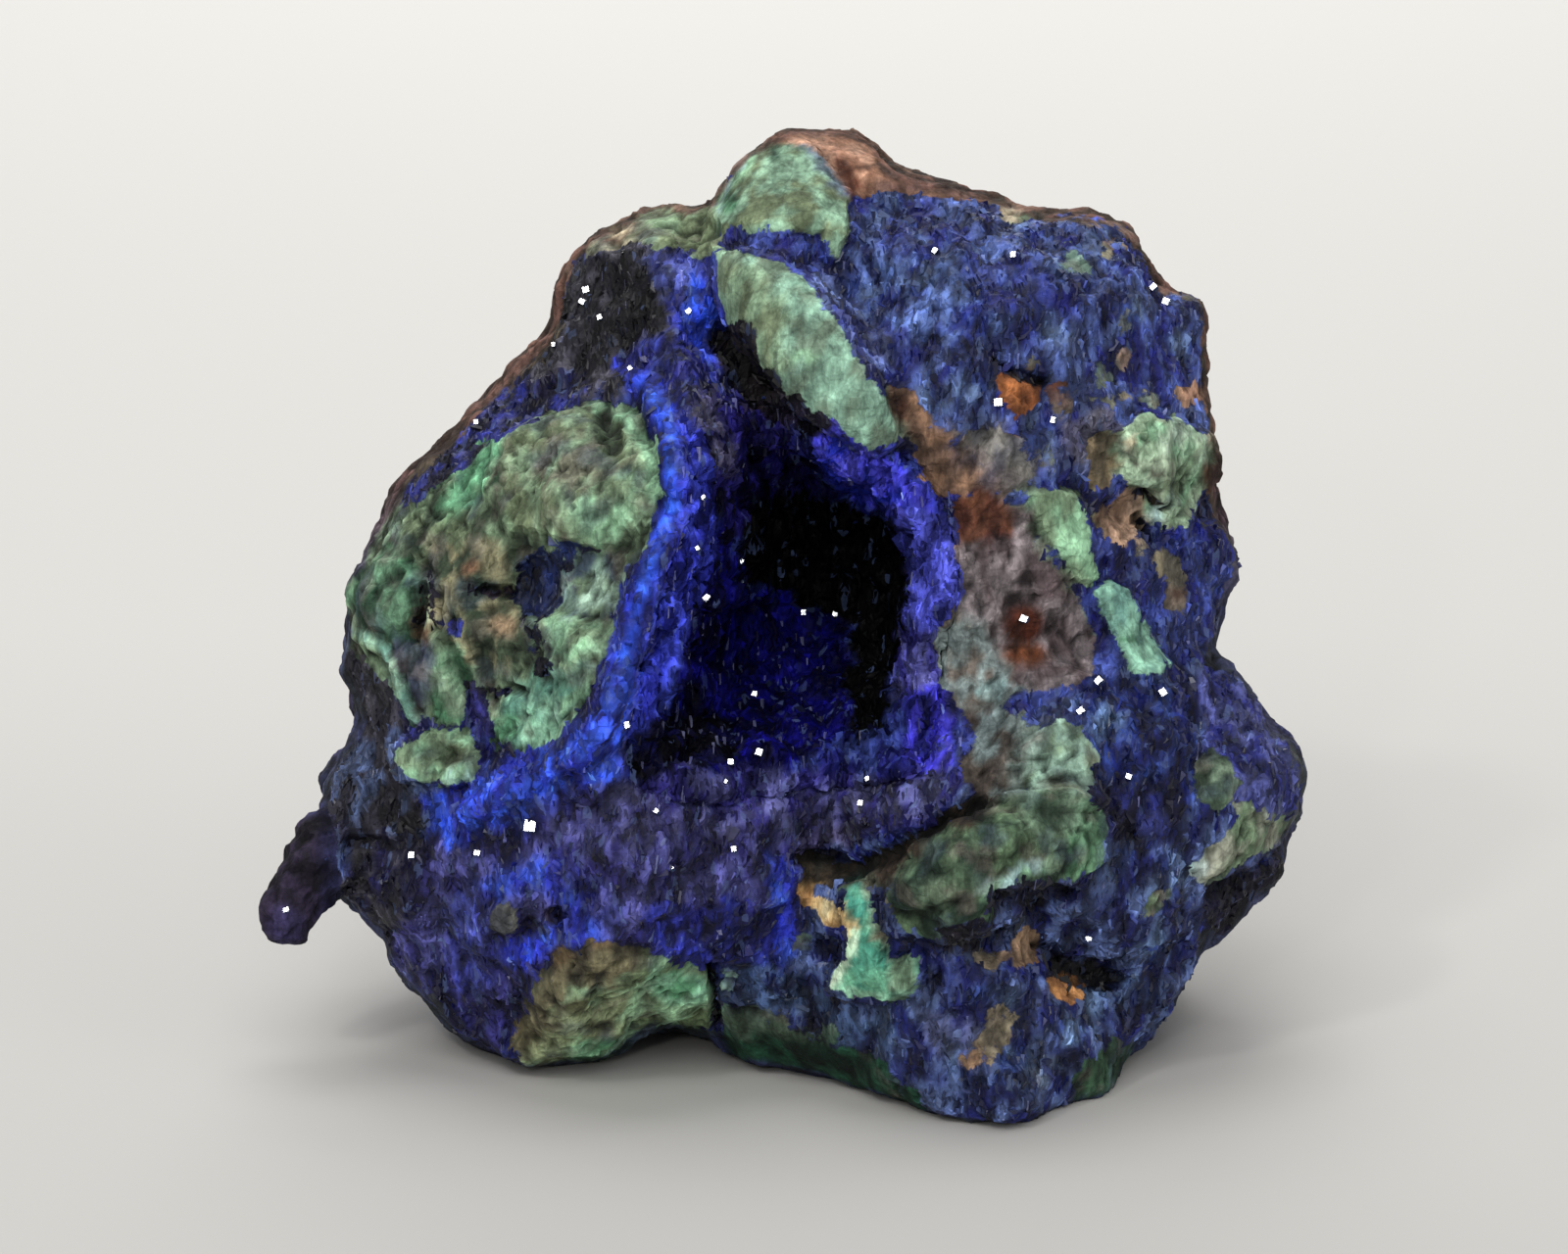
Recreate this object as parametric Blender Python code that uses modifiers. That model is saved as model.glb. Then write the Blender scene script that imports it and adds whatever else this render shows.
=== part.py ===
"""An azurite specimen: one lump of grown-together azurite and malachite with a deep hollow lined by azurite crystals.

Two solids are made: azurite_mass, the whole grown-together lump, and vug_crust, the crystal crust in its hollow.
Forms on the front face are laid out as they are seen from the front: u to the right and v up, across the line
of sight, and w towards the eye, all in millimetres from the middle of the specimen. The eye is EYE_DISTANCE
away and VIEW_TILT above the horizon. view_to_world() turns such a place into the part's own frame, which has
+Z up, the front towards -Y, and its origin in the middle of the base.
"""

import math

import bmesh
import bpy
import numpy as np
from mathutils import Vector, noise

MM = 0.001

# ---- driving dimensions, in millimetres -------------------------------------------------------
EYE_DISTANCE = 500.0
VIEW_TILT = math.radians(15.0)
MIDDLE_HEIGHT = 30.6  # of the middle of the front view above the base
CENTRE_SHIFT = (-0.12, -3.23)  # moves the middle of the outer box over the origin

FRONT_DEPTH = 10.5  # how far the plain front swells from the rim
BACK_DEPTH = 21.0
FRONT_FLATNESS = 0.68  # below 1 makes the face flatter and the rim tighter
BACK_FLATNESS = 0.80
RIM_DEPTH_LIMITS = (-3.5, 13.0)  # the rim follows the base between these depths

OUTLINE_ALLOWANCE = -0.05  # what the relief takes off the rim
FORM_VOXEL = 0.80
RELIEF_VOXEL = 0.50
MASS_TRIANGLES = 7000
FACET_SIZE = 3.1  # of the azurite crystals on the outside
FACET_LEAN = 0.72
CRUST_GAP = 0.35  # between the crust and the rock behind it
CRUST_THICKNESS = 1.5
CRYSTAL_RISE = (0.5, 1.9)  # how far the crust's crystal points stand into the hollow

# The outline as seen from the front, anticlockwise from the right, as (u, v).
OUTLINE = [
    (31.2, -0.2), (31.6, 2.9), (32.6, 3.7), (32.4, 5.4), (31.4, 7.1), (31.1, 9.0), (30.6, 10.4),
    (30.8, 12.1), (30.5, 13.4), (30.7, 14.8), (30.1, 16.6), (30.1, 20.7), (30.3, 22.5), (29.9, 23.6),
    (28.8, 24.1), (27.1, 24.1), (26.4, 25.2), (25.7, 27.2), (24.6, 28.8), (22.4, 29.6), (20.4, 29.8),
    (18.2, 29.5), (15.9, 30.2), (14.1, 31.1), (12.4, 31.7), (10.5, 31.9), (7.7, 32.5), (7.1, 32.8),
    (6.9, 34.1), (6.2, 35.0), (4.7, 35.4), (1.1, 35.8), (-0.4, 35.4), (-2.5, 34.1), (-4.3, 32.2),
    (-5.3, 30.5), (-6.8, 30.0), (-9.0, 30.5), (-10.3, 29.9), (-11.7, 29.1), (-13.9, 28.0), (-15.5, 26.2),
    (-16.0, 24.6), (-16.2, 23.0), (-17.2, 20.4), (-19.5, 18.2), (-20.9, 16.9), (-23.2, 14.6), (-24.3, 13.0),
    (-26.1, 12.0), (-27.3, 10.8), (-27.9, 9.0), (-29.2, 6.8), (-30.2, 4.6), (-31.7, 2.9), (-32.1, 2.3),
    (-31.3, 1.1), (-30.9, -0.4), (-31.6, -1.9), (-31.6, -3.5), (-30.7, -4.5), (-29.9, -6.7), (-30.3, -7.6),
    (-31.9, -9.3), (-32.6, -11.1), (-32.8, -12.8), (-32.4, -15.0), (-31.9, -19.0), (-30.6, -20.2),
    (-28.7, -22.1), (-28.1, -24.5), (-26.2, -26.0), (-24.9, -26.9), (-23.6, -29.1), (-20.9, -30.4),
    (-19.2, -31.6), (-17.4, -31.4), (-15.7, -31.1), (-13.7, -31.2), (-12.2, -30.8), (-11.5, -30.0),
    (-9.5, -28.6), (-7.5, -28.6), (-4.6, -29.1), (-3.9, -30.4), (-3.2, -31.1), (0.0, -31.5), (2.2, -31.9),
    (4.1, -32.7), (7.0, -33.6), (9.4, -34.8), (11.1, -34.9), (13.0, -35.5), (16.3, -35.8), (17.6, -35.7),
    (18.4, -35.1), (19.9, -34.8), (21.3, -33.9), (23.7, -33.4), (24.1, -32.2), (25.3, -29.8), (26.5, -29.3),
    (27.8, -28.0), (28.1, -26.5), (29.3, -25.1), (29.9, -23.2), (29.8, -22.0), (30.3, -21.7), (31.1, -22.3),
    (31.9, -22.0), (33.2, -20.1), (34.4, -18.9), (35.4, -18.3), (36.0, -17.1), (35.3, -15.6), (37.2, -13.2),
    (37.6, -11.3), (37.5, -9.5), (36.2, -8.1), (34.6, -7.1), (34.2, -5.6), (32.9, -3.8), (32.2, -3.0),
    (30.2, -2.7), (30.6, -1.2),
]

# Broad swells of the front face: (u, v), radius, height.
SWELLS = [
    ((-8.0, 9.0), 10.0, 4.5),  # the ridge beside the hollow, upper part
    ((-11.5, -4.0), 10.0, 4.5),  # the ridge, lower part
    ((-12.0, -17.0), 14.0, 6.0),  # the belly under the hollow
    ((-21.0, 4.0), 12.0, 1.5),  # behind the malachite shield
    ((17.0, 22.0), 16.0, 4.0),  # upper right dome
    ((20.0, -17.0), 17.0, 5.0),  # lower right dome
    ((12.0, -14.5), 8.0, 2.5),  # green lobe beside the belly
    ((15.0, 3.0), 9.0, 1.5),  # brown shoulder right of the hollow
    ((27.0, 11.0), 6.0, 1.5),  # malachite knot at the right edge
    ((34.0, -11.0), 6.0, 2.0),  # right-hand lobe
    ((1.0, 29.0), 7.5, 2.5),  # top knob
    ((-13.0, 24.0), 7.0, 2.0),  # upper left shoulder
    ((-27.0, -17.0), 8.0, 2.5),  # lower left corner
    ((-17.0, -28.0), 6.0, 2.0),  # left foot
]

# Malachite, which is smoother: (u, v), half length, half width, turn in degrees, rise, width of the edge.
MALACHITE = [
    ((-20.0, 3.6), 11.6, 9.6, 38.0, 2.1, 1.3),  # shield on the left
    ((-16.5, 10.2), 6.0, 3.8, 25.0, 0.9, 1.2),  # its domed upper end
    ((-28.6, 0.6), 3.6, 2.3, 75.0, 0.8, 1.0),  # its dark green corner
    ((-25.2, -9.4), 3.4, 1.9, 12.0, 1.6, 0.9),  # small cake under it
    ((1.9, 19.9), 8.3, 2.9, -52.0, 3.9, 0.9),  # slab above the hollow
    ((-0.6, 30.3), 4.9, 3.4, 15.0, 1.6, 1.1),  # top knob
    ((15.3, -17.6), 7.2, 3.3, 22.0, 2.9, 1.0),  # olive lobe
    ((19.0, -9.4), 4.4, 3.4, 70.0, 1.5, 1.1),  # pale green boss
    ((6.3, -22.2), 3.9, 1.9, 80.0, 1.7, 0.8),  # green pillar
    ((26.0, 12.6), 3.6, 2.5, 20.0, 1.7, 0.9),  # knot at the right edge
    ((20.2, 7.4), 3.6, 1.6, -55.0, 1.4, 0.8),  # green strip, upper half
    ((24.6, -0.8), 3.8, 1.1, -55.0, 1.2, 0.7),  # green strip, lower half
    ((33.4, -14.6), 3.9, 1.9, 42.0, 1.3, 0.9),  # patch on the right-hand lobe
    ((-11.5, -27.6), 7.0, 2.4, 12.0, 1.1, 1.0),  # left toe
]

# Other raised and sunken forms, written the same way.
FORMS = [
    ((-18.8, 2.2), 3.6, 2.2, 20.0, -1.9, 1.6),  # worn pocket in the shield
    ((-25.6, 1.4), 2.6, 0.9, 85.0, -1.6, 0.9),  # upright slits in the shield
    ((-21.9, -3.9), 2.4, 0.8, 20.0, -1.2, 0.9),
    ((-2.9, 18.2), 4.8, 1.6, -56.0, -4.2, 1.2),  # undercut below the slab
    ((5.6, 33.3), 3.0, 1.5, -8.0, 1.3, 0.9),  # brown cap
    ((19.4, -23.4), 5.6, 1.7, -14.0, -3.4, 1.4),  # dark recess below the olive lobe
    ((31.4, -20.2), 2.2, 1.1, 50.0, -1.8, 0.9),  # cleft under the right-hand lobe
    ((30.5, -7.0), 3.2, 1.0, -30.0, -1.5, 1.1),  # cleft over it
    ((17.0, 17.0), 2.4, 1.4, -10.0, -1.9, 1.1),  # rusty pit
    ((17.3, 0.6), 2.6, 2.2, 0.0, -1.3, 1.2),  # rusty pit
    ((24.4, 8.4), 2.2, 1.0, 15.0, -1.5, 0.9),  # slit under the knot
    ((26.5, -1.6), 1.2, 2.0, 20.0, -1.4, 0.9),  # dark notch
    ((-20.0, -21.3), 1.7, 1.6, 0.0, 1.1, 0.8),  # small round nodule
    ((-16.0, -20.8), 1.2, 1.2, 0.0, -1.1, 0.8),  # round pit beside it
    ((-27.5, -15.6), 4.6, 1.0, -4.0, -2.1, 1.1),  # groove over the lower left corner
    ((-12.8, 22.0), 3.2, 3.6, 0.0, -1.4, 2.0),  # dark dish on the upper left shoulder
    ((-21.5, 15.0), 5.0, 1.2, 40.0, -0.9, 1.0),  # step above the shield
]

# Long ridges and cracks: path, half width, rise.
LINES = [
    ([(-6.3, 26.0), (-7.4, 17.0), (-7.9, 9.5), (-9.8, 3.0), (-11.4, -3.0), (-14.0, -8.0), (-21.0, -13.0)], 1.8, 2.8),
    ([(-4.7, -23.5), (-4.6, -29.5)], 0.7, -2.2),
    ([(1.0, -14.0), (1.2, -19.0), (0.6, -23.0)], 1.0, -1.4),
    ([(1.5, -17.5), (7.0, -16.5), (12.0, -13.0), (15.0, -11.8)], 1.2, -1.5),
    ([(-1.0, 25.6), (7.0, 23.5)], 1.0, -0.9),
    ([(7.5, 15.5), (9.0, 13.6), (13.0, 10.0)], 1.4, -0.7),
]

# Swells of the hidden back: (u, v), radius, height.
BACK_SWELLS = [
    ((14.0, 16.0), 15.0, 5.0),
    ((-15.0, -12.0), 15.0, 5.0),
    ((17.0, -19.0), 12.0, 4.0),
    ((-12.0, 19.0), 9.0, 2.5),
    ((2.0, 2.0), 8.0, -3.5),
    ((-27.0, 2.0), 7.0, -3.0),
]

# The hanging arm at the lower left, as beads from its root to its tip: (u, v, w), radius.
ARM = [
    ((-30.6, -15.2, 1.0), 3.3),
    ((-32.4, -16.2, 1.6), 2.9),
    ((-33.9, -17.6, 2.2), 2.5),
    ((-35.0, -19.2, 2.6), 2.25),
    ((-35.6, -20.6, 2.8), 2.2),
    ((-35.7, -21.1, 2.8), 2.3),
]

# The heel under the back, on which the specimen also rests, written the same way.
HEEL = [
    ((8.0, -20.0, -17.0), 10.5),
    ((-9.0, -17.5, -15.0), 9.5),
    ((20.0, -18.5, -14.0), 9.5),
]

# The hollow: its mouth as seen from the front, anticlockwise from the right, as (u, v).
VUG_MOUTH = [
    (12.4, 3.5), (12.2, 7.5), (9.3, 11.6), (4.0, 13.6), (-0.5, 15.4), (-4.4, 17.0), (-6.3, 15.2),
    (-6.6, 11.0), (-7.6, 5.0), (-8.9, -0.5), (-10.6, -6.0), (-12.2, -11.0), (-7.0, -12.2), (1.0, -12.2),
    (8.0, -11.6), (11.6, -8.6), (10.4, -3.5),
]
VUG_CENTRE = (1.2, 1.6)
VUG_MOUTH_DEPTH = 12.5  # w of the mouth
VUG_DEPTH = 22.0
VUG_LEAN = (2.6, 4.2)  # how far its floor lies to the right of and above its mouth


# ---- small helpers ----------------------------------------------------------------------------
def smooth_step(x, low, high):
    t = np.clip((x - low) / (high - low), 0.0, 1.0)
    return t * t * (3.0 - 2.0 * t)


def view_to_world(u, v, w):
    """Places in the front view, as rows of metres in the part's frame."""
    nearness = 1.0 - w / EYE_DISTANCE
    u, v = u * nearness, v * nearness
    sine, cosine = math.sin(VIEW_TILT), math.cos(VIEW_TILT)
    x = u + CENTRE_SHIFT[0]
    y = v * sine - w * cosine + CENTRE_SHIFT[1]
    z = v * cosine + w * sine + MIDDLE_HEIGHT
    return np.stack([x, y, z], axis=-1) * MM


def world_to_view(places):
    """The reverse of view_to_world, for rows of millimetres."""
    x, y, z = places.T
    x, y, z = x - CENTRE_SHIFT[0], y - CENTRE_SHIFT[1], z - MIDDLE_HEIGHT
    sine, cosine = math.sin(VIEW_TILT), math.cos(VIEW_TILT)
    w = z * sine - y * cosine
    nearness = 1.0 - w / EYE_DISTANCE
    return x / nearness, (y * sine + z * cosine) / nearness, w


class Polar:
    """A closed outline around a centre, read as a radius for each direction."""

    def __init__(self, points, centre=(0.0, 0.0), blur_deg=0.0):
        offsets = np.array(points, float) - np.array(centre)
        turn = np.arctan2(offsets[:, 1], offsets[:, 0])
        order = np.argsort(turn)
        turn, radius = turn[order], np.hypot(*offsets[order].T)
        self.turns = np.radians(np.arange(-180.0, 180.0, 0.5))
        self.radii = np.interp(self.turns, turn, radius, period=2.0 * math.pi)
        if blur_deg:
            reach = int(blur_deg / 0.5)
            window = np.hanning(2 * reach + 1)
            padded = np.concatenate([self.radii[-reach:], self.radii, self.radii[:reach]])
            self.radii = np.convolve(padded, window / window.sum(), "valid")

    def __call__(self, turn):
        return np.interp(turn, self.turns, self.radii, period=2.0 * math.pi)


def swell_height(u, v, swells):
    total = np.zeros_like(u)
    for (cu, cv), radius, height in swells:
        near = np.clip(1.0 - ((u - cu) ** 2 + (v - cv) ** 2) / radius**2, 0.0, 1.0)
        total += height * near**1.5
    return total


def form_height(u, v, forms):
    total = np.zeros_like(u)
    for (cu, cv), half_length, half_width, turn_deg, rise, edge in forms:
        turn = math.radians(turn_deg)
        along = (u - cu) * math.cos(turn) + (v - cv) * math.sin(turn)
        across = (v - cv) * math.cos(turn) - (u - cu) * math.sin(turn)
        outside = np.hypot(along / half_length, across / half_width)
        inside_mm = (1.0 - outside) * min(half_length, half_width)
        total += rise * smooth_step(inside_mm, -0.5 * edge, 0.5 * edge)
    return total


def distance_to_path(u, v, path):
    nearest = np.full_like(u, 1e9)
    for (u0, v0), (u1, v1) in zip(path[:-1], path[1:]):
        du, dv = u1 - u0, v1 - v0
        share = np.clip(((u - u0) * du + (v - v0) * dv) / (du * du + dv * dv), 0.0, 1.0)
        nearest = np.minimum(nearest, np.hypot(u - u0 - share * du, v - v0 - share * dv))
    return nearest


def line_height(u, v, lines):
    total = np.zeros_like(u)
    for path, half_width, rise in lines:
        total += rise * (1.0 - smooth_step(distance_to_path(u, v, path), 0.0, 1.6 * half_width))
    return total


def nodules(places, size, seed):
    """Rounded bumps from 0 to 1 about size millimetres apart, as on a grown crust."""
    shift = Vector((seed * 7.3, seed * 3.1, seed * 5.7))
    nearest = [noise.voronoi(Vector(p) / size + shift)[0][0] for p in places]
    return np.clip(1.0 - np.array(nearest), 0.0, 1.0)


def crystal_facets(places, size, seed):
    """Heights of flat facets about size millimetres across, each leaning its own way."""
    shift = Vector((seed * 5.3, seed * 1.7, seed * 9.1))
    heights = []
    for place in places:
        spot = Vector(place) / size + shift
        centre = noise.voronoi(spot)[1][0]
        lean = noise.cell_vector(centre * 31.7) - Vector((0.5, 0.5, 0.5))
        heights.append(2.0 * size * lean.dot(spot - centre) + 0.8 * (lean.x + lean.y))
    return np.clip(np.array(heights), -1.3, 1.3)


def roughness(places, size, seed):
    """Plain smooth noise from -1 to 1 about size millimetres across."""
    shift = Vector((seed * 2.9, seed * 8.3, seed * 4.1))
    return np.array([noise.noise(Vector(p) / size + shift) for p in places])


# ---- Blender objects --------------------------------------------------------------------------
def new_object(name, mesh, collection):
    made = bpy.data.objects.new(name, mesh)
    collection.objects.link(made)
    return made


def sphere_points(subdivisions):
    """A unit icosphere as a bmesh, and its points as an array in the order of its vertices."""
    ball = bmesh.new()
    bmesh.ops.create_icosphere(ball, subdivisions=subdivisions, radius=1.0)
    return ball, np.array([vertex.co[:] for vertex in ball.verts])


def to_mesh(ball, places, name):
    """Moves the bmesh's vertices to these places, in metres, and keeps it as a mesh."""
    for vertex, place in zip(ball.verts, places):
        vertex.co = place
    bmesh.ops.recalc_face_normals(ball, faces=ball.faces)
    mesh = bpy.data.meshes.new(name)
    ball.to_mesh(mesh)
    ball.free()
    return mesh


def add_boolean(target, other, operation):
    cut = target.modifiers.new(f"{operation.lower()} {other.name}", "BOOLEAN")
    cut.operation = operation
    cut.object = other
    cut.solver = "EXACT"


def as_helper(made):
    made.hide_render = True
    made.display_type = "WIRE"


def keep_evaluated(made):
    """Replaces an object's mesh by the result of its modifiers."""
    graph = bpy.context.evaluated_depsgraph_get()
    result = bpy.data.meshes.new_from_object(made.evaluated_get(graph))
    made.modifiers.clear()
    made.data = result


def stone_material(name, colour, rough):
    made = bpy.data.materials.new(name)
    made.use_nodes = True
    shader = made.node_tree.nodes["Principled BSDF"]
    shader.inputs["Base Color"].default_value = (*colour, 1.0)
    shader.inputs["Roughness"].default_value = rough
    shader.inputs["Metallic"].default_value = 0.0
    made.diffuse_color = (*colour, 1.0)
    return made


# ---- the lump ---------------------------------------------------------------------------------
def rim_depth(v):
    """How near the eye the outline lies: along the bottom it runs in the plane of the base."""
    slope = math.sin(VIEW_TILT) - v * math.cos(VIEW_TILT) / EYE_DISTANCE
    on_the_base = -(MIDDLE_HEIGHT + v * math.cos(VIEW_TILT)) / slope
    low, high = RIM_DEPTH_LIMITS
    return np.where(v < -20.0, np.clip(on_the_base, low, high), low)


def lump_places(directions):
    """Maps a unit sphere, whose z points to the eye, onto the specimen."""
    right, up, near = directions.T
    turn = np.arctan2(up, right)
    sweep = np.hypot(right, up)
    sharp, soft = Polar(OUTLINE), Polar(OUTLINE, blur_deg=14.0)
    front = near >= 0.0
    spread = np.where(front, sweep**FRONT_FLATNESS, sweep**BACK_FLATNESS)
    rimward = smooth_step(sweep, 0.80, 0.995)
    radius = soft(turn) * 0.985 * (1.0 - rimward) + (sharp(turn) + OUTLINE_ALLOWANCE) * rimward
    u, v = radius * spread * np.cos(turn), radius * spread * np.sin(turn)

    rim_v = sharp(turn) * np.sin(turn)
    rim_w = rim_depth(rim_v) * sweep**3
    inward = smooth_step(np.abs(near), 0.0, 0.40)
    front_w = FRONT_DEPTH * np.abs(near) ** 0.9 + inward * front_height(u, v)
    back_w = BACK_DEPTH * np.abs(near) ** 0.85 + inward * swell_height(u, v, BACK_SWELLS)
    return u, v, rim_w + np.where(front, front_w, -back_w)


def front_height(u, v):
    return swell_height(u, v, SWELLS) + form_height(u, v, MALACHITE + FORMS) + line_height(u, v, LINES)


def relief_height(places, normals):
    """How far each place, in millimetres, moves along its normal: lumps all over, and crystals on the azurite."""
    u, v, w = world_to_view(places)
    places = places - np.array([*CENTRE_SHIFT, 0.0])
    towards = normals @ np.array([0.0, -math.cos(VIEW_TILT), math.sin(VIEW_TILT)])
    front = smooth_step(towards, 0.15, 0.55)
    back = smooth_step(-towards, 0.0, 0.5)
    side = 1.0 - front - back
    on_arm = smooth_step(-u, 31.0, 33.0) * smooth_step(-v, 14.0, 16.0)
    azurite = (1.0 - front * smooth_step(form_height(u, v, MALACHITE), 0.2, 0.9)) * (1.0 - 0.75 * on_arm)
    lumps = 1.9 * (nodules(places, 6.5, 1) - 0.45) + 1.6 * roughness(places, 13.0, 2)
    small = 0.8 * (nodules(places, 3.0, 3) - 0.45)
    facets = crystal_facets(places, FACET_SIZE, 5)
    gain = (0.55 * front + 0.45 * side + 1.5 * back) * (1.0 - on_arm)
    height = gain * lumps + small * (1.0 - azurite) + azurite * FACET_LEAN * facets * (1.0 - 0.3 * side)
    return np.where(side > 0.5, np.minimum(height, 0.25), height)


def remesh_voxels(made, size):
    """One even skin over everything in the object."""
    remesh = made.modifiers.new("one skin", "REMESH")
    remesh.mode = "VOXEL"
    remesh.voxel_size = size * MM
    keep_evaluated(made)


def add_relief(made):
    count = len(made.data.vertices)
    places, normals = np.empty(count * 3), np.empty(count * 3)
    made.data.vertices.foreach_get("co", places)
    made.data.vertices.foreach_get("normal", normals)
    places, normals = places.reshape(-1, 3) / MM, normals.reshape(-1, 3)
    places += normals * relief_height(places, normals)[:, None]
    made.data.vertices.foreach_set("co", (places * MM).ravel())
    made.data.update()


def make_lump(collection):
    ball, directions = sphere_points(6)
    whole = new_object("lump_form", to_mesh(ball, view_to_world(*lump_places(directions)), "lump_form"), collection)
    beads = bmesh.new()
    beads.from_mesh(whole.data)
    for (u, v, w), radius in ARM + HEEL:
        place = view_to_world(np.array(u), np.array(v), np.array(w))
        made = bmesh.ops.create_icosphere(beads, subdivisions=3, radius=radius * MM)
        bmesh.ops.translate(beads, verts=made["verts"], vec=Vector(place))
    beads.to_mesh(whole.data)
    beads.free()
    remesh_voxels(whole, FORM_VOXEL)
    remesh_voxels(whole, RELIEF_VOXEL)
    add_relief(whole)
    remesh_voxels(whole, RELIEF_VOXEL)
    thin = whole.modifiers.new("fewer faces", "DECIMATE")
    thin.ratio = MASS_TRIANGLES / (2.0 * len(whole.data.polygons))
    keep_evaluated(whole)
    return whole


def make_ground(collection):
    """A block whose top is the plane of the base."""
    bm = bmesh.new()
    bmesh.ops.create_cube(bm, size=0.2)
    bmesh.ops.translate(bm, verts=bm.verts, vec=(0.0, 0.0, -0.1))
    mesh = bpy.data.meshes.new("ground_cutter")
    bm.to_mesh(mesh)
    bm.free()
    made = new_object("ground_cutter", mesh, collection)
    as_helper(made)
    return made


# ---- the hollow and its crust -----------------------------------------------------------------
def vug_places(directions, inset):
    """Maps a unit sphere onto the hollow, drawn in by inset on all sides but the mouth's."""
    right, up, near = directions.T
    turn = np.arctan2(up, right)
    sweep = np.hypot(right, up)
    mouth = Polar(VUG_MOUTH, VUG_CENTRE, blur_deg=8.0)(turn) - inset
    if inset > CRUST_GAP:
        mouth += 0.5 * roughness(directions * 10.0, 2.5, 8)
    inside = near < 0.0
    depth = np.where(inside, -near * (VUG_DEPTH - inset), 0.0)
    share = depth / VUG_DEPTH
    spread = np.where(inside, sweep**0.75 * (1.0 - 0.22 * share), 1.0 + 0.12 * near)
    spread = np.where(inside, spread, spread * sweep**0.3)
    u = VUG_CENTRE[0] + VUG_LEAN[0] * share + mouth * spread * np.cos(turn)
    v = VUG_CENTRE[1] + VUG_LEAN[1] * share + mouth * spread * np.sin(turn)
    w = VUG_MOUTH_DEPTH - depth + np.where(inside, 0.0, near * 16.0)
    places = np.stack([u, v, w], axis=-1)
    wall = smooth_step(share, 0.0, 0.25)
    ripple = 1.0 + 0.07 * wall * roughness(places, 6.0, 6)
    u = VUG_CENTRE[0] + (u - VUG_CENTRE[0]) * ripple
    v = VUG_CENTRE[1] + (v - VUG_CENTRE[1]) * ripple
    return u, v, w


def make_vug_form(name, inset, subdivisions, collection):
    ball, directions = sphere_points(subdivisions)
    mesh = to_mesh(ball, view_to_world(*vug_places(directions, inset)), name)
    made = new_object(name, mesh, collection)
    as_helper(made)
    return made


def raise_crystals(form):
    """Turns each face of the hollow's inner form into a crystal point that stands into the hollow."""
    bm = bmesh.new()
    bm.from_mesh(form.data)
    bm.faces.ensure_lookup_table()
    rng = np.random.default_rng(11)
    low, high = CRYSTAL_RISE
    bmesh.ops.join_triangles(bm, faces=bm.faces, angle_face_threshold=3.1, angle_shape_threshold=3.1)
    for face in list(bm.faces):
        apex = bmesh.ops.poke(bm, faces=[face], offset=-float(rng.uniform(low, high)) * MM)["verts"][0]
        apex.co += Vector(rng.uniform(-0.45, 0.45, 3)) * MM
    bm.to_mesh(form.data)
    bm.free()


def build():
    for old in list(bpy.data.objects):
        bpy.data.objects.remove(old, do_unlink=True)
    specimen = bpy.data.collections.new("azurite_specimen")
    helpers = bpy.data.collections.new("cutters")
    for made in (specimen, helpers):
        bpy.context.scene.collection.children.link(made)

    lump = make_lump(helpers)
    as_helper(lump)
    ground = make_ground(helpers)
    hollow = make_vug_form("hollow_cutter", 0.0, 3, helpers)

    mass = new_object("azurite_mass", lump.data.copy(), specimen)
    add_boolean(mass, ground, "DIFFERENCE")
    add_boolean(mass, hollow, "DIFFERENCE")
    mass.data.materials.clear()
    mass.data.materials.append(stone_material("azurite", (0.030, 0.035, 0.21), 0.45))

    inner = make_vug_form("crust_inner_cutter", CRUST_GAP + CRUST_THICKNESS, 3, helpers)
    raise_crystals(inner)
    crust_form = make_vug_form("crust_outer_form", CRUST_GAP, 3, helpers)
    crust = new_object("vug_crust", crust_form.data.copy(), specimen)
    add_boolean(crust, inner, "DIFFERENCE")
    add_boolean(crust, lump, "INTERSECT")
    crust.data.materials.append(stone_material("azurite_crystal", (0.010, 0.010, 0.12), 0.20))


build()
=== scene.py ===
"""The azurite specimen dressed for a picture: a fine-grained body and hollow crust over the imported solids,
thousands of small azurite crystals on them, procedural stone materials, a pale floor and studio light.

Marks on the front face are placed by where they show in the 1600 x 1280 frame, as across,down. Lengths are in
millimetres until a mesh is written, in metres.
"""

import math

import bmesh
import bpy
import numpy as np
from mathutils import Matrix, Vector, noise
from mathutils.bvhtree import BVHTree


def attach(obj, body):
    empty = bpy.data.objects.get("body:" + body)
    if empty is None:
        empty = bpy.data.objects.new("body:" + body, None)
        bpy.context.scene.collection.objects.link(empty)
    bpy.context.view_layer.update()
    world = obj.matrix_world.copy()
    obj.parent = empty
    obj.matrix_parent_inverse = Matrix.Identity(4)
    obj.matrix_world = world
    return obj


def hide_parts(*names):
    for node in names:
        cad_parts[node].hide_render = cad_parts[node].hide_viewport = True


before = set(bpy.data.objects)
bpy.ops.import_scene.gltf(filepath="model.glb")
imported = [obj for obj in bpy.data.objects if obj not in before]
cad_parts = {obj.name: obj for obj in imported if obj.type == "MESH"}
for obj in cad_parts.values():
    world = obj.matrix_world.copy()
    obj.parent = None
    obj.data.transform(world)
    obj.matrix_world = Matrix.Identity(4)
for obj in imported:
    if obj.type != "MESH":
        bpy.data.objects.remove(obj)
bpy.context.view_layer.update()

MM = 0.001
MIDDLE = np.array([-0.12, -3.23, 30.6])  # what the camera looks at
TILT = math.radians(15.0)  # of the camera above the horizon
EYE_DISTANCE = 500.0
FRAME_MM = 0.07  # millimetres a frame unit, at the middle
FRAME_WIDTH = 1600.0
FRAME_CENTRE = (800.0, 640.0)
SENSOR = 36.0
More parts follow.
